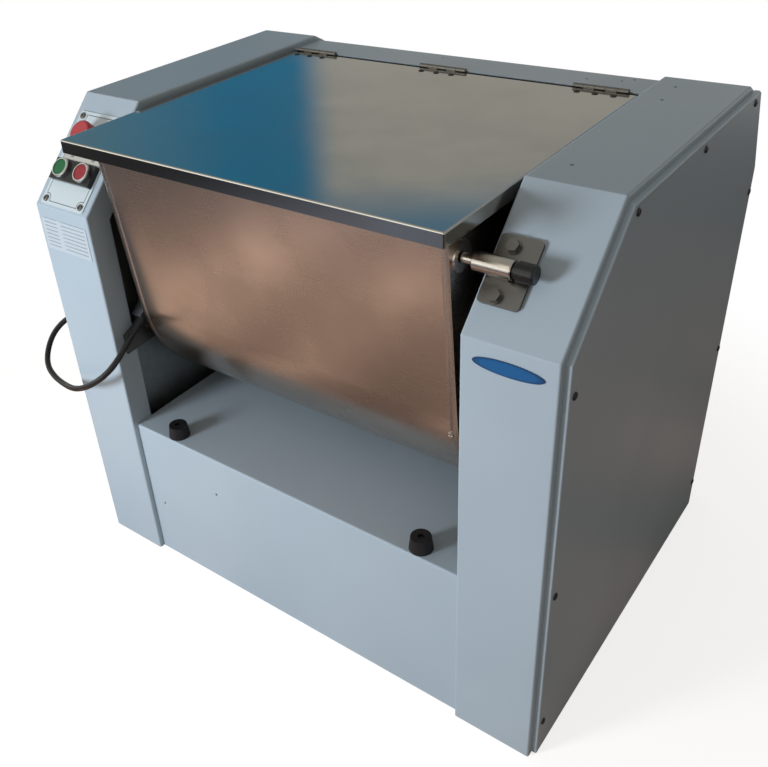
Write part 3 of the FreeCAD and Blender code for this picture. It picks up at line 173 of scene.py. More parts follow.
# stainless sheet as it comes from the polisher: the lid is nearly a mirror, the trough is ground along its length
sheetLook = {
    "smearEdges": (0.35, 0.65),  # of the noise, from handled metal to clean
    "smearDetail": 3.0,
    "lineDetail": 2.0,
    "lineStrength": 0.3,
    "glossReach": 0.2,  # of smears and lines together, each side of their middle
    "waveDetail": 1.0,
}
lidSheetLook = {
    "colours": ("#b3afa9", "#b9b6b0"),  # where hands and cloths have dulled it, and clean
    "roughness": (0.14, 0.0875),
    "smearSize": 90.0,  # mm
    "grainPitch": 0.9,  # mm, drawn coarser than the real polishing lines so that it shows
    "lineStretch": 0.02,  # across to along
    "lineShare": 0.25,  # of the lines in the gloss, to 1 of the smears
    "lineHeight": 0.0009,  # mm
    "waveSize": 190.0,  # mm, slow unevenness of thin sheet
    "waveHeight": 0.25,
}
troughSheetLook = {
    "colours": ("#b9afa6", "#cbc1b8"),
    "roughness": (0.31, 0.22),
    "smearSize": 150.0,
    "grainPitch": 0.8,
    "lineStretch": 0.005,
    "lineShare": 0.3,
    "lineHeight": 0.0008,
    "waveSize": 210.0,
    "waveHeight": 0.7,
}


# smears plus a share of the lines set the gloss; slow waves and then the lines tilt the surface
def stainlessSheet(name, look):
    both = sheetLook
    material, tree, shader, place = startMaterial(name, {"Metallic": 1.0})
    smeared = {"Scale": 1000 / look["smearSize"], "Detail": both["smearDetail"]}
    smears = addNode(tree, "ShaderNodeTexNoise", smeared, {"Vector": place})
    tint = addNode(tree, "ShaderNodeValToRGB", rampOf(both["smearEdges"], look["colours"]), {"Fac": smears})
    pitch = 1000 / look["grainPitch"]
    stretch = addNode(
        tree, "ShaderNodeMapping", {"Scale": [pitch * look["lineStretch"], pitch, pitch]}, {"Vector": place}
    )
    fineLines = {"Scale": 1.0, "Detail": both["lineDetail"]}
    lines = addNode(tree, "ShaderNodeTexNoise", fineLines, {"Vector": stretch})
    share = {"operation": "MULTIPLY_ADD", 1: look["lineShare"]}
    mixed = addNode(tree, "ShaderNodeMath", share, {0: lines, 2: smears})
    middle = (1 + look["lineShare"]) / 2
    glossEdges = (middle - both["glossReach"], middle + both["glossReach"])
    rough = addNode(tree, "ShaderNodeValToRGB", rampOf(glossEdges, look["roughness"]), {"Fac": mixed})
    wavy = {"Scale": 1000 / look["waveSize"], "Detail": both["waveDetail"]}
    waves = addNode(tree, "ShaderNodeTexNoise", wavy, {"Vector": place})
    slow = addNode(tree, "ShaderNodeBump", {"Strength": 1.0, "Distance": look["waveHeight"] / 1000}, {"Height": waves})
    ground = {"Strength": both["lineStrength"], "Distance": look["lineHeight"] / 1000}
    fine = addNode(tree, "ShaderNodeBump", ground, {"Height": lines, "Normal": slow})
    feedShader(tree, shader, {"Base Color": tint, "Roughness": rough, "Normal": fine})
    return material


metalLook = {
    "grainDetail": 3.0,
    "grainEdges": (0.3, 0.7),  # of the noise, from the duller gloss to the clearer
    "relief": 0.01,  # mm
    "reliefStrength": 0.3,
}
mouldedLook = {
    "patchToGrain": 12,  # how much larger the soiled patches are than the grain
    "patchDetail": 4.0,
    "soiledEdges": (0.42, 0.72),
    "dullEdges": (0.35, 0.7),
    "dulled": (-0.04, 0.08),  # roughness less when clean, and more when soiled
    "grainDetail": 2.0,
    "reliefStrength": 0.3,
}


# a machined, drawn or plated metal, grain in mm: one noise, stretched along the tool's marks, sets gloss and relief
def metalFinish(name, colour, roughness, grain, stretch=(1, 1, 1), spread=0.05):
    look = metalLook
    material, tree, shader, place = startMaterial(name, {"Metallic": 1.0, "Base Color": toLinear(colour)})
    mapping = addNode(tree, "ShaderNodeMapping", {"Scale": [s * 1000 / grain for s in stretch]}, {"Vector": place})
    noise = addNode(tree, "ShaderNodeTexNoise", {"Scale": 1.0, "Detail": look["grainDetail"]}, {"Vector": mapping})
    gloss = rampOf(look["grainEdges"], (roughness + spread, roughness - spread))
    rough = addNode(tree, "ShaderNodeValToRGB", gloss, {"Fac": noise})
    relief = {"Strength": look["reliefStrength"], "Distance": look["relief"] / 1000}
    bump = addNode(tree, "ShaderNodeBump", relief, {"Height": noise})
    feedShader(tree, shader, {"Roughness": rough, "Normal": bump})
    return material


# a moulded plastic, rubber or enamel, grain and relief in mm: a little soiled in patches, with its own fine grain
def mouldedFinish(name, colour, soiled, roughness, grain, relief, ior=1.5):
    look = mouldedLook
    material, tree, shader, place = startMaterial(name, {"IOR": ior})
    patchy = {"Scale": 1000 / (grain * look["patchToGrain"]), "Detail": look["patchDetail"]}
    patches = addNode(tree, "ShaderNodeTexNoise", patchy, {"Vector": place})
    tint = addNode(tree, "ShaderNodeValToRGB", rampOf(look["soiledEdges"], (colour, soiled)), {"Fac": patches})
    gloss = rampOf(look["dullEdges"], [roughness + change for change in look["dulled"]])
    rough = addNode(tree, "ShaderNodeValToRGB", gloss, {"Fac": patches})
    grained = {"Scale": 1000 / grain, "Detail": look["grainDetail"]}
    noise = addNode(tree, "ShaderNodeTexNoise", grained, {"Vector": place})
    raised = {"Strength": look["reliefStrength"], "Distance": relief / 1000}
    bump = addNode(tree, "ShaderNodeBump", raised, {"Height": noise})
    feedShader(tree, shader, {"Base Color": tint, "Roughness": rough, "Normal": bump})
    return material


# pale anodised aluminium with a printed border that goes round the screws; its colour is also lifted paler and cooler
# than the metal's own, painted light for the bright light falling on the facet
controlPlateLook = {
    # the metal's own pale tint, lifted further by painted light
    "colour": "#d9e4e8",
    "ink": "#333a42",
    "metallic": 0.25,
    "middle": (-352.5, 77.5),  # x and distance up the facet, mm
    "halfBorder": (40.2, 68.2),
    "screw": (37.5, 65.5),
    "screwClear": 8.5,
    "lineFade": (0.65, 0.35),  # mm from the line's middle, where the ink ends and where it is full
    "grainsPerMetre": 1200.0,  # blasted before anodising
    "grainDetail": 2.0,
    "grainEdges": (0.3, 0.7),
    "roughness": (0.50, 0.42),
}


# how far a point is past the border's rectangle, or inside a screw's circle, whichever is more: the line is where
# that is nearly nothing
def borderedPlate():
    look = controlPlateLook
    material, tree, shader, place = startMaterial("anodisedPlateWithPaintedLight", {"Metallic": look["metallic"]})
    laid = {
        "vector_type": "TEXTURE",
        "Location": toFrame(onFacet([*look["middle"], 0.0])).tolist(),
        "Rotation": (facetTurn, 0.0, 0.0),
        "Scale": [0.001] * 3,
    }
    local = addNode(tree, "ShaderNodeMapping", laid, {"Vector": place})
    folded = addNode(tree, "ShaderNodeVectorMath", {"operation": "ABSOLUTE"}, {0: local})
    border = {"operation": "SUBTRACT", 1: (*look["halfBorder"], 0.0)}
    past = addNode(tree, "ShaderNodeVectorMath", border, {0: folded})
    sides = addNode(tree, "ShaderNodeSeparateXYZ", links={"Vector": past}).outputs
    outside = addNode(tree, "ShaderNodeMath", {"operation": "MAXIMUM"}, {0: sides["X"], 1: sides["Y"]})
    flat = addNode(tree, "ShaderNodeVectorMath", {"operation": "MULTIPLY", 1: (1.0, 1.0, 0.0)}, {0: folded})
    screw = {"operation": "DISTANCE", 1: (*look["screw"], 0.0)}
    fromScrew = addNode(tree, "ShaderNodeVectorMath", screw, {0: flat}).outputs["Value"]
    within = addNode(tree, "ShaderNodeMath", {"operation": "SUBTRACT", 0: look["screwClear"]}, {1: fromScrew})
    edge = addNode(tree, "ShaderNodeMath", {"operation": "MAXIMUM"}, {0: outside, 1: within})
    away = addNode(tree, "ShaderNodeMath", {"operation": "ABSOLUTE"}, {0: edge})
    bare, full = look["lineFade"]
    inked = addNode(tree, "ShaderNodeMapRange", {"From Min": bare, "From Max": full}, {"Value": away})
    tint = addNode(tree, "ShaderNodeValToRGB", rampOf((0.0, 1.0), (look["colour"], look["ink"])), {"Fac": inked})
    grained = {"Scale": look["grainsPerMetre"], "Detail": look["grainDetail"]}
    grain = addNode(tree, "ShaderNodeTexNoise", grained, {"Vector": place})
    rough = addNode(tree, "ShaderNodeValToRGB", rampOf(look["grainEdges"], look["roughness"]), {"Fac": grain})
    feedShader(tree, shader, {"Base Color": tint, "Roughness": rough})
    return material


# vitreous enamel on a domed oval, a shade deeper towards its edge
badgeLook = {
    "centre": (352.5, 598.0),  # x and height, mm
    "half": (41.0, 8.6),
    "colours": ("#0a5f97", "#084570"),
    "deepFrom": (0.75, 0.95),  # of the way from the middle to the edge
    "roughness": 0.26,
}


# distance from the middle, measured in half lengths and half heights
def enamelBadge():
    look = badgeLook
    material, tree, shader, place = startMaterial("blueEnamelBadge", {"Roughness": look["roughness"], "IOR": 1.5})
    x, z = look["centre"]
    halfLength, halfHeight = look["half"]
    laid = {
        "vector_type": "TEXTURE",
        "Location": toFrame([x, 0.0, z]).tolist(),
        "Scale": (halfLength / 1000, 1.0, halfHeight / 1000),
    }
    local = addNode(tree, "ShaderNodeMapping", laid, {"Vector": place})
    distance = addNode(tree, "ShaderNodeVectorMath", {"operation": "LENGTH"}, {0: local}).outputs["Value"]
    tint = addNode(tree, "ShaderNodeValToRGB", rampOf(look["deepFrom"], look["colours"]), {"Fac": distance})
    feedShader(tree, shader, {"Base Color": tint})
    return material


# pale polyester label printed with a blank form: thin ruled lines in two columns, nothing filled in
labelLook = {
    "left": -401.5,
    "right": -303.5,
    "low": 554.5,
    "high": 603.5,
    "rows": 7,
    "lineWidth": 0.9,
    "margin": 5.0,
    "gap": (-364.0, 5.0),  # middle and half width of the space between the form's two columns
    "paper": "#c6cfd4",
    "ink": "#5d6770",
    "roughness": 0.34,
}


# ink where the height within a row is less than a line's width, over the lowest row and inside both margins
def ruledLabel():
    look = labelLook
    material, tree, shader, place = startMaterial(
        "printedPolyesterLabel", {"Roughness": look["roughness"], "IOR": 1.57}
    )
    apart = addNode(tree, "ShaderNodeSeparateXYZ", links={"Vector": place}).outputs
    rowPitch = (look["high"] - look["low"]) / (look["rows"] + 1)
    inRows = {"operation": "MULTIPLY_ADD", 1: 1000 / rowPitch, 2: -look["low"] / rowPitch}
    height = addNode(tree, "ShaderNodeMath", inRows, {0: apart["Z"]})
    row = addNode(tree, "ShaderNodeMath", {"operation": "FRACT"}, {0: height})
    ruled = addNode(tree, "ShaderNodeMath", {"operation": "LESS_THAN", 1: look["lineWidth"] / rowPitch}, {0: row})
    aboveFoot = addNode(tree, "ShaderNodeMath", {"operation": "GREATER_THAN", 1: 1.0}, {0: height})
    middle = (look["left"] + look["right"]) / 2
    reach = (look["right"] - look["left"]) / 2 - look["margin"]
    across, gap = (
        addNode(tree, "ShaderNodeMath", {"operation": "COMPARE", 1: at / 1000, 2: half / 1000}, {0: apart["X"]})
        for at, half in ((middle, reach), look["gap"])
    )
    ink = addNode(tree, "ShaderNodeMath", {"operation": "GREATER_THAN"}, {0: across, 1: gap})
    for share in (aboveFoot, ruled):
        ink = addNode(tree, "ShaderNodeMath", {"operation": "MULTIPLY"}, {0: ink, 1: share})
    tint = addNode(tree, "ShaderNodeValToRGB", rampOf((0.0, 1.0), (look["paper"], look["ink"])), {"Fac": ink})
    feedShader(tree, shader, {"Base Color": tint})
    return material


finishes = {
    "paint": sprayedPaint(),
    "lidSheet": stainlessSheet("mirrorPolishedStainless", lidSheetLook),
    "troughSheet": stainlessSheet("groundStainless", troughSheetLook),
    # brushed along the machine, so its highlights are drawn out
    "satin": metalFinish("satinStainlessPlate", "#75736f", roughness=0.42, grain=0.8, stretch=(0.04, 1, 1)),
    # turned, then plated: clear and even
    "bright": metalFinish("brightNickelPlating", "#bdb7af", roughness=0.24, grain=6.0, spread=0.03),
    # zinc worn dull, a little blotched
    "plated": metalFinish("dullZincPlating", "#7a7977", roughness=0.32, grain=2.5),
    # satin chrome, pale
    "silver": metalFinish("satinChromeBezel", "#d4d6d8", roughness=0.30, grain=0.5, spread=0.03),
    # black zinc with a dull grey sheen
    "screw": metalFinish("darkZincScrew", "#3f3e3d", roughness=0.40, grain=1.5),
    # ground back with a flap disc, uneven gloss
    "weld": metalFinish("groundWeld", "#b3aeaa", roughness=0.30, grain=2.0, spread=0.06),
    # turned bare steel, fine rings
    "machined": metalFinish("turnedSteel", "#a9a8a4", roughness=0.28, grain=0.7, stretch=(0.05, 1, 1)),
    # zinc spangle, patchy gloss
    "galvanised": metalFinish("galvanisedSteel", "#9fa3a4", roughness=0.45, grain=12.0, spread=0.12),
    # turned and oiled, yellow
    "bronze": metalFinish("turnedBronze", "#b08a4c", roughness=0.30, grain=0.7, stretch=(0.05, 1, 1)),
    # drawn wire, grey and smooth
    "springSteel": metalFinish("springSteelWire", "#8c8b88", roughness=0.30, grain=1.0),
    # sand-cast, rough under its grey enamel
    "casting": mouldedFinish("paintedCastIron", "#4c5156", "#3a3e42", roughness=0.55, grain=1.2, relief=0.05),
    # a thick brushed coat
    "motorPaint": mouldedFinish("blueGreyMotorEnamel", "#54606c", "#454e57", roughness=0.45, grain=1.0, relief=0.03),
    # matt, dusty in patches
    "rubber": mouldedFinish("mouldedRubber", "#101014", "#1c1c21", roughness=0.56, grain=0.6, relief=0.03, ior=1.52),
    # smooth extruded cable sheath
    "vinyl": mouldedFinish("blackVinylSheath", "#0c0c0e", "#151517", roughness=0.30, grain=0.8, relief=0.006, ior=1.53),
    # fine moulded grain, half gloss
    "blackPlastic": mouldedFinish("blackMouldedPlastic", "#0a0b0d", "#141517", roughness=0.30, grain=0.4, relief=0.01),
    # glass-filled, dull
    "greyPlastic": mouldedFinish("greySwitchHousing", "#55565a", "#4a4b4f", roughness=0.42, grain=0.8, relief=0.01),
    # painted shade: the chamber's back wall is given a dark grey that stands in for the shade deep in the recess behind
    # the trough
    "recessShade": mouldedFinish("darkGreyRecessShade", "#373a3e", "#2c2f33", roughness=0.6, grain=1.0, relief=0.02),
    # smooth button caps, hardly soiled
    "green": mouldedFinish("greenButtonPlastic", "#066336", "#05562e", roughness=0.34, grain=0.5, relief=0.004),
    "red": mouldedFinish("redButtonPlastic", "#9c2732", "#8b222b", roughness=0.34, grain=0.5, relief=0.004),
    # a brighter red for the emergency stop
    "alarmRed": mouldedFinish("redMushroomPlastic", "#bd4045", "#ad383c", roughness=0.30, grain=0.6, relief=0.006),
    "controlPlate": borderedPlate(),
    "badge": enamelBadge(),
    "label": ruledLabel(),
}

nodeFinishes = {
    "paint": [
        "right_column_housing", "left_column_housing", "right_side_cover", "left_side_cover",
        "base_housing", "rear_bridge", "rear_cover", "contactor_box",
    ],
    "lidSheet": ["lid_panel"],
    "troughSheet": ["bowl_shell", "bowl_end_left", "bowl_end_right"],
    "satin": ["hinge_fixed_leaves", "hinge_lid_leaves", "switch_bracket"],
    "plated": ["plunger_bracket", "plunger_bolts", "hinge_pins"],
    "bright": ["plunger_sleeve", "plunger_pin"],
    "silver": ["button_bezels"],
    "screw": ["panel_screws", "hinge_screws", "hub_bolts"],
    "machined": [
        "bearing_hubs", "ball_bearings", "bowl_rings", "agitator_shaft", "agitator_arms",
        "drive_gear", "drive_pinion", "countershaft", "motor_shaft",
    ],
    "galvanised": ["base_tray", "motor_mount", "left_bearing_plate", "right_bearing_plate"],
    "casting": ["driven_pulley", "motor_pulley"],
    "motorPaint": ["motor_body"],
    "bronze": ["bowl_bushes"],
    "springSteel": ["plunger_spring"],
    "rubber": ["rubber_bumpers", "drive_belt", "shaft_seals", "lead_strain_reliefs"],
    "vinyl": ["switch_lead"],
    "blackPlastic": ["button_block", "estop_collar", "estop_stem", "contact_blocks", "plunger_knob"],
    "greyPlastic": ["position_switch"],
    # the chamber's back wall takes the dark grey of painted shade
    "recessShade": ["chamber_back"],
    "green": ["start_button"],
    "red": ["stop_button"],
    "alarmRed": ["estop_mushroom"],
    "controlPlate": ["control_plate"],
    "badge": ["oval_badge"],
    "label": ["data_plate"],
}

for finish, names in nodeFinishes.items():
    for name in names:
        mesh = nodes[name].data
        mesh.materials.clear()
        mesh.materials.append(finishes[finish])
print("finishes on", sum(len(names) for names in nodeFinishes.values()), "solids")


# the lead from the position switch to the side cover; it and the camera come before the other pieces

leadLook = {
    "diameter": 0.0092,  # m
    "length": 0.461,
    "route": [  # mm, from the switch round the column's front to the cover
        (-281.9, 27.8, 429.6),
        (-281.9, 8.2, 414.9),
        (-283.0, -14.0, 397.5),
        (-292.0, -29.0, 382.0),
        (-310.94, -38.5, 365.5),
        (-340.95, -41.0, 346.0),
        (-377.94, -36.0, 328.0),
        (-417.95, -25.0, 315.0),
        (-456.99, -16.0, 311.0),
        (-490.97, -4.0, 315.0),
        (-510.97, 16.0, 330.0),
        (-517.72, 41.0, 351.0),
        (-503.98, 65.0, 371.0),
        (-472.5, 79.0, 383.0),
        (-442.5, 79.0, 383.0),
    ],
    "stepsAlong": 12,  # between two points
    "stepsRound": 6,
}


# one smooth curve on the solid's own route points, with a round section
def makeLead():
    look = leadLook
    curve = bpy.data.curves.new("switchLead", "CURVE")
    curve.dimensions = "3D"
    line = curve.splines.new("NURBS")
    points = toFrame(look["route"])
    line.points.add(len(points) - 1)
    line.points.foreach_set("co", np.hstack([points, np.ones((len(points), 1))]).ravel())
    line.order_u = 3
    line.use_endpoint_u = True
    line.resolution_u = look["stepsAlong"]
    curve.bevel_depth = look["diameter"] / 2
    curve.bevel_resolution = look["stepsRound"]
    curve.use_fill_caps = True
    curve.materials.append(finishes["vinyl"])
    piece = addObject("switchLead", curve)
    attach(piece, "frame")
    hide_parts("switch_lead")


makeLead()
print("lead made")

cameraLook = {
    "place": (0.69485, -0.99922, 1.10587),
    "turn": (
        (0.7960705, -0.2819425, 0.5355186),
        (0.6020077, 0.4597216, -0.6528728),
        (-0.0621168, 0.8421191, 0.5357023),
    ),
    "sensor": 36.0,  # mm
    "lens": 42.126,
    "shift": (0.06317, -0.03618),
    "clip": (0.05, 100.0),  # m
}


# the photograph's place, turn and lens, worked out from the machine's straight edges
def makeCamera():
    look = cameraLook
    camera = addObject("camera", bpy.data.cameras.new("camera"))
    camera.matrix_world = Matrix.Translation(look["place"]) @ Matrix(look["turn"]).to_4x4()
    camera.data.sensor_width = look["sensor"]
    camera.data.lens = look["lens"]
    camera.data.shift_x, camera.data.shift_y = look["shift"]
    camera.data.clip_start, camera.data.clip_end = look["clip"]
    bpy.context.scene.camera = camera


makeCamera()
print("camera set")


# surfaces


# quads between neighbouring points of a grid, whose columns may close on themselves
def gridFaces(rows, columns, closed=False):
    r, c = np.meshgrid(np.arange(rows - 1), np.arange(columns if closed else columns - 1), indexing="ij")
    nextC = (c + 1) % columns
    corners = [r * columns + c, r * columns + nextC, (r + 1) * columns + nextC, (r + 1) * columns + c]
    return np.stack(corners, -1).reshape(-1, 4)


# a mesh object from an array of points, in metres, and an array of quads
def makePiece(name, points, faces, finish, smooth=True):
    mesh = bpy.data.meshes.new(name)
    mesh.from_pydata(np.asarray(points).reshape(-1, 3).tolist(), [], np.asarray(faces).tolist())
    mesh.polygons.foreach_set("use_smooth", np.full(len(mesh.polygons), smooth))
    mesh.materials.append(finishes[finish])
    mesh.update()
    return addObject(name, mesh)


aside = (0.31, 0.17, 0.93)  # a direction that no path here follows


# a tube: each path point plus radius times (side cos a + up sin a), both square to the path
def tubePoints(path, radius, sides):
    along = np.gradient(path, axis=0)
    along /= np.linalg.norm(along, axis=1, keepdims=True)
    side = np.cross(along, aside)
    side /= np.linalg.norm(side, axis=1, keepdims=True)
    up = np.cross(along, side)
    a = np.linspace(0, 2 * math.pi, sides, endpoint=False)[None, :, None]
    return path[:, None, :] + radius * (side[:, None, :] * np.cos(a) + up[:, None, :] * np.sin(a))


# the coil spring in the index plunger

springLook = {
    "low": 301.3,  # x of its ends, mm
    "high": 326.7,
    "up": 75.0,  # its axis on the facet
    "out": 18.0,
    "coilRadius": 6.6,
    "wireRadius": 0.75,
    "turns": 6.5,
    "bunched": 0.07,  # how much closer the end turns lie
    "pointsAlong": 360,
    "wireSides": 10,
    "keep": 0.61,  # of its length when the plunger is out
}


# a helix: x runs from low to high while the angle makes the turns, closer together at both ends
def makeSpring():
    look = springLook
    t = np.linspace(0, 1, look["pointsAlong"])
    eased = t - look["bunched"] * np.sin(2 * math.pi * t)
    x = look["low"] + look["wireRadius"] + (look["high"] - look["low"] - 2 * look["wireRadius"]) * eased
    a = 2 * math.pi * look["turns"] * t
    up = look["up"] + look["coilRadius"] * np.cos(a)
    out = look["out"] + look["coilRadius"] * np.sin(a)
    path = toFrame(onFacet(np.stack([x, up, out], -1)))
    rings = tubePoints(path, look["wireRadius"] / 1000, look["wireSides"])
    faces = gridFaces(len(path), look["wireSides"], closed=True)
    piece = makePiece("plungerCoilSpring", rings, faces, "springSteel")
    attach(piece, "frame")
    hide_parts("plunger_spring")
    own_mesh(piece)


makeSpring()
print("spring made")


# screw heads, domed with a cross recess

screwLook = {
    "radius": 4.6,  # mm
    "height": 2.5,
    "fall": 0.35,  # of the height, from the middle to the rim
    "recessWidth": 0.75,
    "recessReach": 2.7,
    "recessDepth": 1.5,
    "recessLimit": 0.55,  # of the height
    "recessSlope": 0.45,  # mm across the recess's wall
    "innermost": 0.02,  # ring, as a share of the radius
    "rings": 16,
    "sides": 32,
    "turnEach": 1.1,  # radians, so that the recesses don't all line up
}
screwPlaces = {
    "frontEdge": (20.0, (60.0, 292.5, 578.0)),  # y and heights on both side covers
    "topEdge": ((139.0, 340.0, 530.0), 730.0),
    "backEdge": (587.0, (60.0, 330.0, 589.0)),
    "sideX": 416.5,
    "rearXz": [(x, z) for x in (-394.0, 0.0, 394.0) for z in (15.0, 595.0)],
    "rearY": 636.0,
    "plateXu": [(x, u) for x in (-390.0, -315.0) for u in (12.0, 143.0)],  # x and distance up the facet
    "plateOut": 1.5,
    "bumperXy": [(-218.0, 26.5), (228.0, 26.5)],
    "bumperZ": 277.5,
}


# over a disc: a dome that falls with the square of the distance, less a cross recess, down to a straight rim
def screwHead(radius, height):
    look = screwLook
    r = np.concatenate([np.linspace(look["innermost"], 1.0, look["rings"] - 1), [1.0]])[:, None] * radius
    a = np.linspace(0, 2 * math.pi, look["sides"], endpoint=False)[None, :]
    u, v = r * np.cos(a), r * np.sin(a)
    scale = radius / look["radius"]
    width, reach = look["recessWidth"] * scale, look["recessReach"] * scale
    armU = np.minimum(reach - np.abs(u), width - np.abs(v))
    armV = np.minimum(reach - np.abs(v), width - np.abs(u))
    inside = np.clip(np.maximum(armU, armV) / look["recessSlope"] + 0.5, 0, 1)
    recess = inside * min(look["recessDepth"] * scale, look["recessLimit"] * height)
    top = height * (1 - look["fall"] * (r / radius) ** 2) - recess
    top[-1] = 0.0
    return u, v, top


# two directions turned in their own plane
def turned(angle, first, second):
    first, second = np.asarray(first, float), np.asarray(second, float)
    return first * math.cos(angle) + second * math.sin(angle), second * math.cos(angle) - first * math.sin(angle)


# each spot is a middle point and three directions; the head is turned a little, laid on it, and all are joined
def makeScrews(name, spots, size, body, replaced, finish="screw"):
    u, v, top = screwHead(*size)
    faces = gridFaces(*u.shape, closed=True)
    points, quads = [], []
    for i, (middle, first, second, outward) in enumerate(spots):
        first, second = turned(i * screwLook["turnEach"], first, second)
        lifted = top[..., None] * np.asarray(outward)
        shape = np.asarray(middle) + u[..., None] * first + v[..., None] * second + lifted
        points.append(toFrame(shape).reshape(-1, 3))
        quads.append(faces + i * u.size)
    piece = makePiece(name, np.concatenate(points), np.concatenate(quads), finish)
    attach(piece, body)
    if replaced:
        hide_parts(replaced)


# both side covers, the rear cover and the bumpers
def coverSpots():
    places = screwPlaces
    frontY, frontZs = places["frontEdge"]
    topYs, topZ = places["topEdge"]
    backY, backZs = places["backEdge"]
    sideYz = [(frontY, z) for z in frontZs] + [(y, topZ) for y in topYs] + [(backY, z) for z in backZs]
    spots = []
    for side in (-1, 1):
        for y, z in sideYz:
            spots.append(((side * places["sideX"], y, z), (0, side, 0), (0, 0, 1), (side, 0, 0)))
    for x, z in places["rearXz"]:
        spots.append(((x, places["rearY"], z), (-1, 0, 0), (0, 0, 1), (0, 1, 0)))
    for x, y in places["bumperXy"]:
        spots.append(((x, y, places["bumperZ"]), (1, 0, 0), (0, 1, 0), (0, 0, 1)))
    return spots


# the control plate's four: up the facet and out of it are the frame's y and z turned by its lean
def plateSpots():
    places = screwPlaces
    c, s = math.cos(facetTurn), math.sin(facetTurn)
    return [(onFacet([x, u, places["plateOut"]]), (1, 0, 0), (0, c, s), (0, -s, c)) for x, u in places["plateXu"]]


headSize = (screwLook["radius"], screwLook["height"])
makeScrews("coverScrewHeads", coverSpots(), headSize, "frame", "panel_screws")
makeScrews("plateScrewHeads", plateSpots(), headSize, "frame", "panel_screws", "plated")

hingeScrewLook = {"xs": [-245.0, -8.0, 236.0], "pitch": 25.4, "y": 447.0, "z": 741.5, "size": (4.2, 1.2)}


# three screws in each of the lid's hinge leaves, a pitch apart
def hingeSpots():
    look = hingeScrewLook
    xs = [centre + step * look["pitch"] for centre in look["xs"] for step in (-1, 0, 1)]
    return [((x, look["y"], look["z"]), (1, 0, 0), (0, 1, 0), (0, 0, 1)) for x in xs]


makeScrews("hingeScrewHeads", hingeSpots(), hingeScrewLook["size"], "lid", "hinge_screws")

# the rivet low down on the trough's front wall, leaning as the round bottom does there
rivetLook = {"place": (259.5, 46.6, 447.5), "lean": 12.0, "size": (4.4, 2.8)}


# one spot whose outward direction is forwards, turned down by the lean
def rivetSpots():
    look = rivetLook
    c, s = math.cos(math.radians(look["lean"])), math.sin(math.radians(look["lean"]))
    return [(look["place"], (1, 0, 0), (0, -s, c), (0, -c, -s))]


makeScrews("troughRivet", rivetSpots(), rivetLook["size"], "bowl", None, "bright")
print("screws and rivet made")


# the ground welds that join the trough's front and bottom to its end plates

seamLook = {
    "axis": (240.0, 490.0),  # the shaft's y and z
    "radius": 198.0,  # outside of the round bottom
    "flare": 5.5,  # degrees, lean of the front wall
    "top": 737.4,
    "sweep": 70.0,  # degrees round the bottom
    "half": 270.0,
    "width": 10.5,
    "crown": 0.9,
    "sink": 0.15,  # its edges lie under the sheet's surface
    "stepsDown": 16,
    "stepsRound": 40,
    "stepsAcross": 9,
}


# down the wall and on round the bottom, each point with its outward direction; across, a parabola over the sheet
def makeSeams():
    look = seamLook
    flare = math.radians(look["flare"])
    turn = flare + np.radians(np.linspace(0, look["sweep"], look["stepsRound"]))
    outward = np.stack([-np.cos(turn), -np.sin(turn)], -1)
    bottom = np.array(look["axis"]) + look["radius"] * outward
    up = np.array([-math.sin(flare), math.cos(flare)])
    rise = (look["top"] - bottom[0, 1]) / up[1]
    wall = bottom[0] + np.linspace(rise, 0, look["stepsDown"], endpoint=False)[:, None] * up
    path = np.concatenate([wall, bottom])
    outward = np.concatenate([np.repeat(outward[:1], len(wall), 0), outward])
    t = np.linspace(-1, 1, look["stepsAcross"])
    height = look["crown"] * (1 - t**2) - look["sink"]
    yz = path[:, None, :] + height[None, :, None] * outward[:, None, :]
    points, quads = [], []
    for i, side in enumerate((-1, 1)):
        x = side * (look["half"] - look["width"] * (1 - side * t) / 2)
        xColumn = np.broadcast_to(x[None, :, None], yz.shape[:2] + (1,))
        points.append(toFrame(np.concatenate([xColumn, yz], -1)))
        quads.append(gridFaces(*yz.shape[:2]) + i * x.size * len(path))
    piece = makePiece("groundWelds", np.stack(points), np.concatenate(quads), "weld")
    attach(piece, "bowl")


makeSeams()
print("welds made")


# legend strip over the push buttons

legendLook = {
    "left": -392.0,  # mm
    "right": -313.0,
    "low": 76.0,  # distance up the facet
    "high": 85.0,
    "out": 1.5,  # height over the facet
    "thick": 0.35,
    "words": {"ON": -375.0, "OFF": -330.0},
    "letterHeight": 4.6,
    "letterHalf": 0.05,  # half the letters' thickness
}


# the six faces of a thin slab lying on the facet
def facetSlab(left, right, low, high, out, thick):
    corners = [(x, u, c) for c in (out, out + thick) for u in (low, high) for x in (left, right)]
    faces = [(0, 2, 3, 1), (4, 5, 7, 6), (0, 1, 5, 4), (2, 6, 7, 3), (0, 4, 6, 2), (1, 3, 7, 5)]
    return toFrame(onFacet(corners)), faces


# the slab, and each word made a mesh before it is turned by the facet's lean and set on the slab
def makeLegend():
    look = legendLook
    points, faces = facetSlab(*(look[key] for key in ("left", "right", "low", "high", "out", "thick")))
    strip = makePiece("legendStrip", points, faces, "silver", smooth=False)
    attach(strip, "frame")
    up = (look["low"] + look["high"]) / 2
    out = look["out"] + look["thick"] + look["letterHalf"]
    for word, x in look["words"].items():
        text = bpy.data.curves.new("letters", "FONT")
        text.body = word
        text.size = look["letterHeight"] / 1000
        text.extrude = look["letterHalf"] / 1000
        text.align_x = "CENTER"
        text.align_y = "CENTER"
        holder = addObject("letters", text)
        bpy.context.view_layer.update()
        mesh = bpy.data.meshes.new_from_object(holder)
        bpy.data.objects.remove(holder)
        middle = toFrame(onFacet([x, up, out]))
        mesh.transform(Matrix.Translation(middle) @ Matrix.Rotation(facetTurn, 4, "X"))
        mesh.materials.clear()
        mesh.materials.append(finishes["blackPlastic"])
        piece = addObject("legend" + word.title(), mesh)
        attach(piece, "frame")


makeLegend()
print("legend made")


# floor, world and lamp

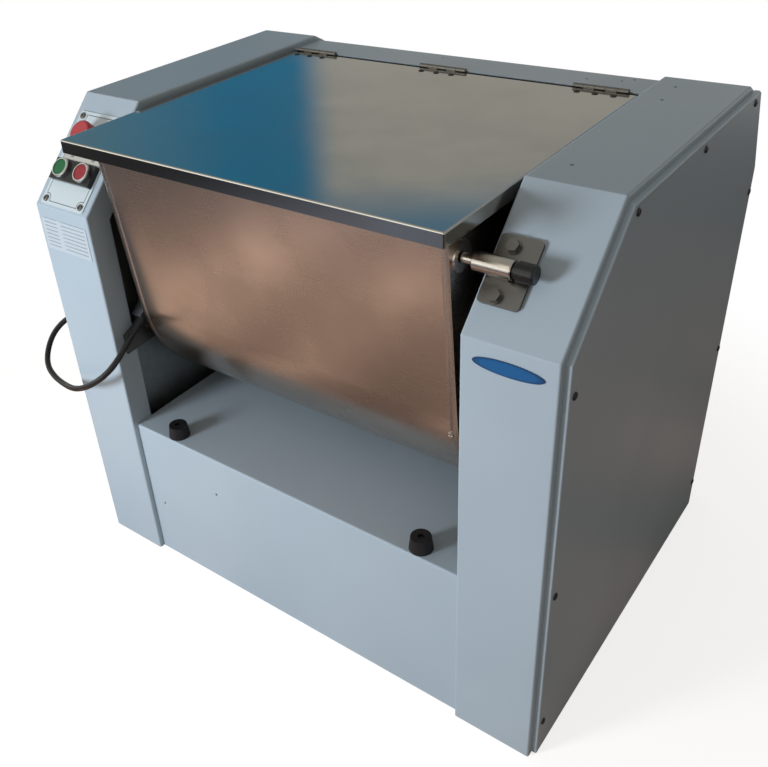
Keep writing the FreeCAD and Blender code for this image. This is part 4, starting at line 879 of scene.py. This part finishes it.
floorLook = {
    "half": 30.0,  # m
    "paper": "#c3bbb3",
    "paperLift": 0.76,  # brings the floor to white for the camera, and keeps the shadow
    "cameraWhite": (0.58, 1.12),  # m from the object's middle, where the floor turns to plain white
    "patchesInMetal": ("#93796c", "#fdd3b8"),  # warmer, as the trough shows it
    "patchEdges": (0.4, 0.6),  # of the noise
    "patchSize": 0.28,  # m
    "patchDetail": 0.5,
    "darkInMetal": "#595b62",  # and dark further out, as the lid's lip shows it
    "darkFrom": (0.92, 1.6),
    "metalWhite": (2.3, 3.4),  # and white again for metal
    "widened": 1.6,  # what metal shows of the floor is this much wider than deep
}


# 1 for what the camera sees, straight or in metal and glass, and 0 for light on the object; then camera rays alone
def addSeenRay(tree):
    rays = addNode(tree, "ShaderNodeLightPath").outputs
    seen = rays["Is Camera Ray"]
    for kind in ("Is Glossy Ray", "Is Transmission Ray"):
        seen = addNode(tree, "ShaderNodeMath", {"operation": "MAXIMUM"}, {0: seen, 1: rays[kind]})
    return seen, rays["Is Camera Ray"]


# how far a place has come between two distances from the middle, as a smooth step
def addDistanceShare(tree, place, limits):
    distance = addNode(tree, "ShaderNodeVectorMath", {"operation": "LENGTH"}, {0: place}).outputs["Value"]
    return addNode(tree, "ShaderNodeMapRange", smoothStep(limits), {"Value": distance})


# a pale floor that keeps the object's shadow near it and turns to plain white further out
def makeFloor():
    look = floorLook
    half = look["half"]
    mesh = bpy.data.meshes.new("studioFloor")
    mesh.from_pydata([(-half, -half, 0), (half, -half, 0), (half, half, 0), (-half, half, 0)], [], [(0, 1, 2, 3)])
    material = bpy.data.materials.new("paleStudioFloor")
    material.use_nodes = True
    tree = material.node_tree
    tree.nodes.clear()
    place = addNode(tree, "ShaderNodeTexCoord").outputs["Object"]
    seen, cameraRay = addSeenRay(tree)
    paper = addNode(tree, "ShaderNodeBsdfDiffuse", {"Color": toLinear(look["paper"])})
    lift = addNode(tree, "ShaderNodeEmission", {"Color": grey(1.0), "Strength": look["paperLift"]})
    lifted = addNode(tree, "ShaderNodeAddShader", links={0: paper, 1: lift})
    narrower = {"operation": "MULTIPLY", 1: (1 / look["widened"], 1.0, 1.0)}
    narrowed = addNode(tree, "ShaderNodeVectorMath", narrower, {0: place})
    metalShare = addDistanceShare(tree, narrowed, look["metalWhite"])
    cameraShare = addDistanceShare(tree, place, look["cameraWhite"])
    darkShare = addDistanceShare(tree, narrowed, look["darkFrom"])
    patchy = {"Scale": 1 / look["patchSize"], "Detail": look["patchDetail"]}
    patches = addNode(tree, "ShaderNodeTexNoise", patchy, {"Vector": place})
    warm = addNode(tree, "ShaderNodeValToRGB", rampOf(look["patchEdges"], look["patchesInMetal"]), {"Fac": patches})
    dark = {"data_type": "RGBA", colourB: toLinear(look["darkInMetal"])}
    tint = addNode(tree, "ShaderNodeMix", dark, {mixFactor: darkShare, colourA: warm}).outputs[mixedColour]
    inMetal = addNode(tree, "ShaderNodeBsdfDiffuse", links={"Color": tint})
    near = addNode(tree, "ShaderNodeMixShader", links={0: cameraRay, 1: inMetal, 2: lifted})
    white = addNode(tree, "ShaderNodeEmission", {"Color": grey(1.0), "Strength": 1.0})
    far = addNode(tree, "ShaderNodeMix", links={mixFactor: cameraRay, floatA: metalShare, floatB: cameraShare})
    shown = addNode(tree, "ShaderNodeMixShader", links={0: far.outputs[mixedFloat], 1: near, 2: white})
    either = addNode(tree, "ShaderNodeMixShader", links={0: seen, 1: paper, 2: shown})
    addNode(tree, "ShaderNodeOutputMaterial", links={"Surface": either})
    mesh.materials.append(material)
    addObject("studioFloor", mesh)


# the room as metal shows it: a white backdrop low down, a grey wall over it, and a blue flat behind to the left
roomLook = {
    "white": "#ffffff",
    "whiteTop": (0.06, 0.19),  # sines of the elevation between which the white ends
    "wall": "#b2b1a9",
    "flat": ("#357da3", "#6b8f9e"),  # paler at its far end
    "flatFade": (0.1, 0.3),
    "flatAzimuth": 129.4,  # degrees, where the flat starts in what the lid shows
    "flatEdge": (-0.022, 0.022),
    "flatBehind": (0.1, 0.4),  # it hangs only behind the machine
    "flatHigh": (0.375, 0.415),  # sines of the elevation from which it hangs over the rest of the wall
    "flatTop": (0.44, 0.54),  # and where it ends
}
windowLook = {
    "towards": (-0.59, -0.71, 0.37),  # round, on the key's side
    "edge": (0.87, 0.94),  # cosines of its outer and inner radius
    "strength": (1.0, 3.2),  # outside and inside
}
skyLook = {
    "colour": "#f1efec",
    "towards": (-0.45, -0.35, 0.82),
    "edge": (-0.3, 0.8),  # cosines between which it grows brighter
    "strength": (0.15, 0.39),  # away from the key's side and towards it
}


# cosine of the angle between a ray and a direction
def addCosine(tree, ray, towards):
    unit = {"operation": "DOT_PRODUCT", 1: Vector(towards).normalized()}
    return addNode(tree, "ShaderNodeVectorMath", unit, {0: ray}).outputs["Value"]


# the flat's share is 1 left of its edge or high up, times 1 behind and under its top: it is mixed into the wall by
# that, and both into the white by height
def roomInMetal(tree, ray):
    look = roomLook
    apart = addNode(tree, "ShaderNodeSeparateXYZ", links={"Vector": ray}).outputs
    turn = math.radians(look["flatAzimuth"])
    leftOf = addCosine(tree, ray, (-math.sin(turn), math.cos(turn), 0.0))
    left = addNode(tree, "ShaderNodeMapRange", smoothStep(look["flatEdge"]), {"Value": leftOf})
    high = addNode(tree, "ShaderNodeMapRange", smoothStep(look["flatHigh"]), {"Value": apart["Z"]})
    under = addNode(tree, "ShaderNodeMapRange", smoothStep(look["flatTop"], (1.0, 0.0)), {"Value": apart["Z"]})
    behind = addNode(tree, "ShaderNodeMapRange", smoothStep(look["flatBehind"]), {"Value": apart["Y"]})
    share = addNode(tree, "ShaderNodeMath", {"operation": "MAXIMUM"}, {0: left, 1: high})
    for limit in (under, behind):
        share = addNode(tree, "ShaderNodeMath", {"operation": "MULTIPLY"}, {0: share, 1: limit})
    colour = addNode(tree, "ShaderNodeValToRGB", rampOf(look["flatFade"], look["flat"]), {"Fac": leftOf})
    over = addNode(tree, "ShaderNodeMapRange", smoothStep(look["whiteTop"]), {"Value": apart["Z"]})
    for first, factor in (("wall", share), ("white", over)):
        mixed = {"data_type": "RGBA", colourA: toLinear(look[first])}
        colour = addNode(tree, "ShaderNodeMix", mixed, {mixFactor: factor, colourB: colour}).outputs[mixedColour]
    return colour


# even pale light for the object, stronger from the key's side; white for the camera; the room and window for metal
def makeWorld():
    world = bpy.data.worlds.new("softStudio")
    bpy.context.scene.world = world
    world.use_nodes = True
    tree = world.node_tree
    tree.nodes.clear()
    ray = addNode(tree, "ShaderNodeTexCoord").outputs["Generated"]
    seen, cameraRay = addSeenRay(tree)
    plain = {"data_type": "RGBA", colourB: grey(1.0)}
    colour = addNode(tree, "ShaderNodeMix", plain, {mixFactor: cameraRay, colourA: roomInMetal(tree, ray)})
    towardsWindow = addCosine(tree, ray, windowLook["towards"])
    windowStep = smoothStep(windowLook["edge"], windowLook["strength"])
    window = addNode(tree, "ShaderNodeMapRange", windowStep, {"Value": towardsWindow})
    strength = addNode(tree, "ShaderNodeMix", {floatB: 1.0}, {mixFactor: cameraRay, floatA: window})
    shownLinks = {"Color": colour.outputs[mixedColour], "Strength": strength.outputs[mixedFloat]}
    shown = addNode(tree, "ShaderNodeBackground", links=shownLinks)
    towardsSky = addCosine(tree, ray, skyLook["towards"])
    skyStep = smoothStep(skyLook["edge"], skyLook["strength"])
    sky = addNode(tree, "ShaderNodeMapRange", skyStep, {"Value": towardsSky})
    light = addNode(tree, "ShaderNodeBackground", {"Color": toLinear(skyLook["colour"])}, {"Strength": sky})
    either = addNode(tree, "ShaderNodeMixShader", links={0: seen, 1: light, 2: shown})
    addNode(tree, "ShaderNodeOutputWorld", links={"Surface": either})


keyLook = {
    "colour": (0.82, 0.90, 1.0),
    "power": 29.0,  # W
    "place": (-0.75, -1.95, 0.76),
    "size": 0.55,
    "aim": (0.0, 0.0, 0.4),
}


# a round lamp from the front left, which metal doesn't show
def addKey():
    look = keyLook
    lamp = bpy.data.lights.new("softKey", "AREA")
    lamp.energy = look["power"]
    lamp.color = look["colour"]
    lamp.shape = "DISK"
    lamp.size = look["size"]
    holder = addObject("softKey", lamp)
    holder.location = look["place"]
    holder.rotation_mode = "QUATERNION"
    holder.rotation_quaternion = (Vector(look["aim"]) - holder.location).to_track_quat("-Z", "Y")
    holder.visible_glossy = False


makeFloor()
makeWorld()
addKey()
bpy.context.scene.view_settings.view_transform = "Standard"
print("studio made")
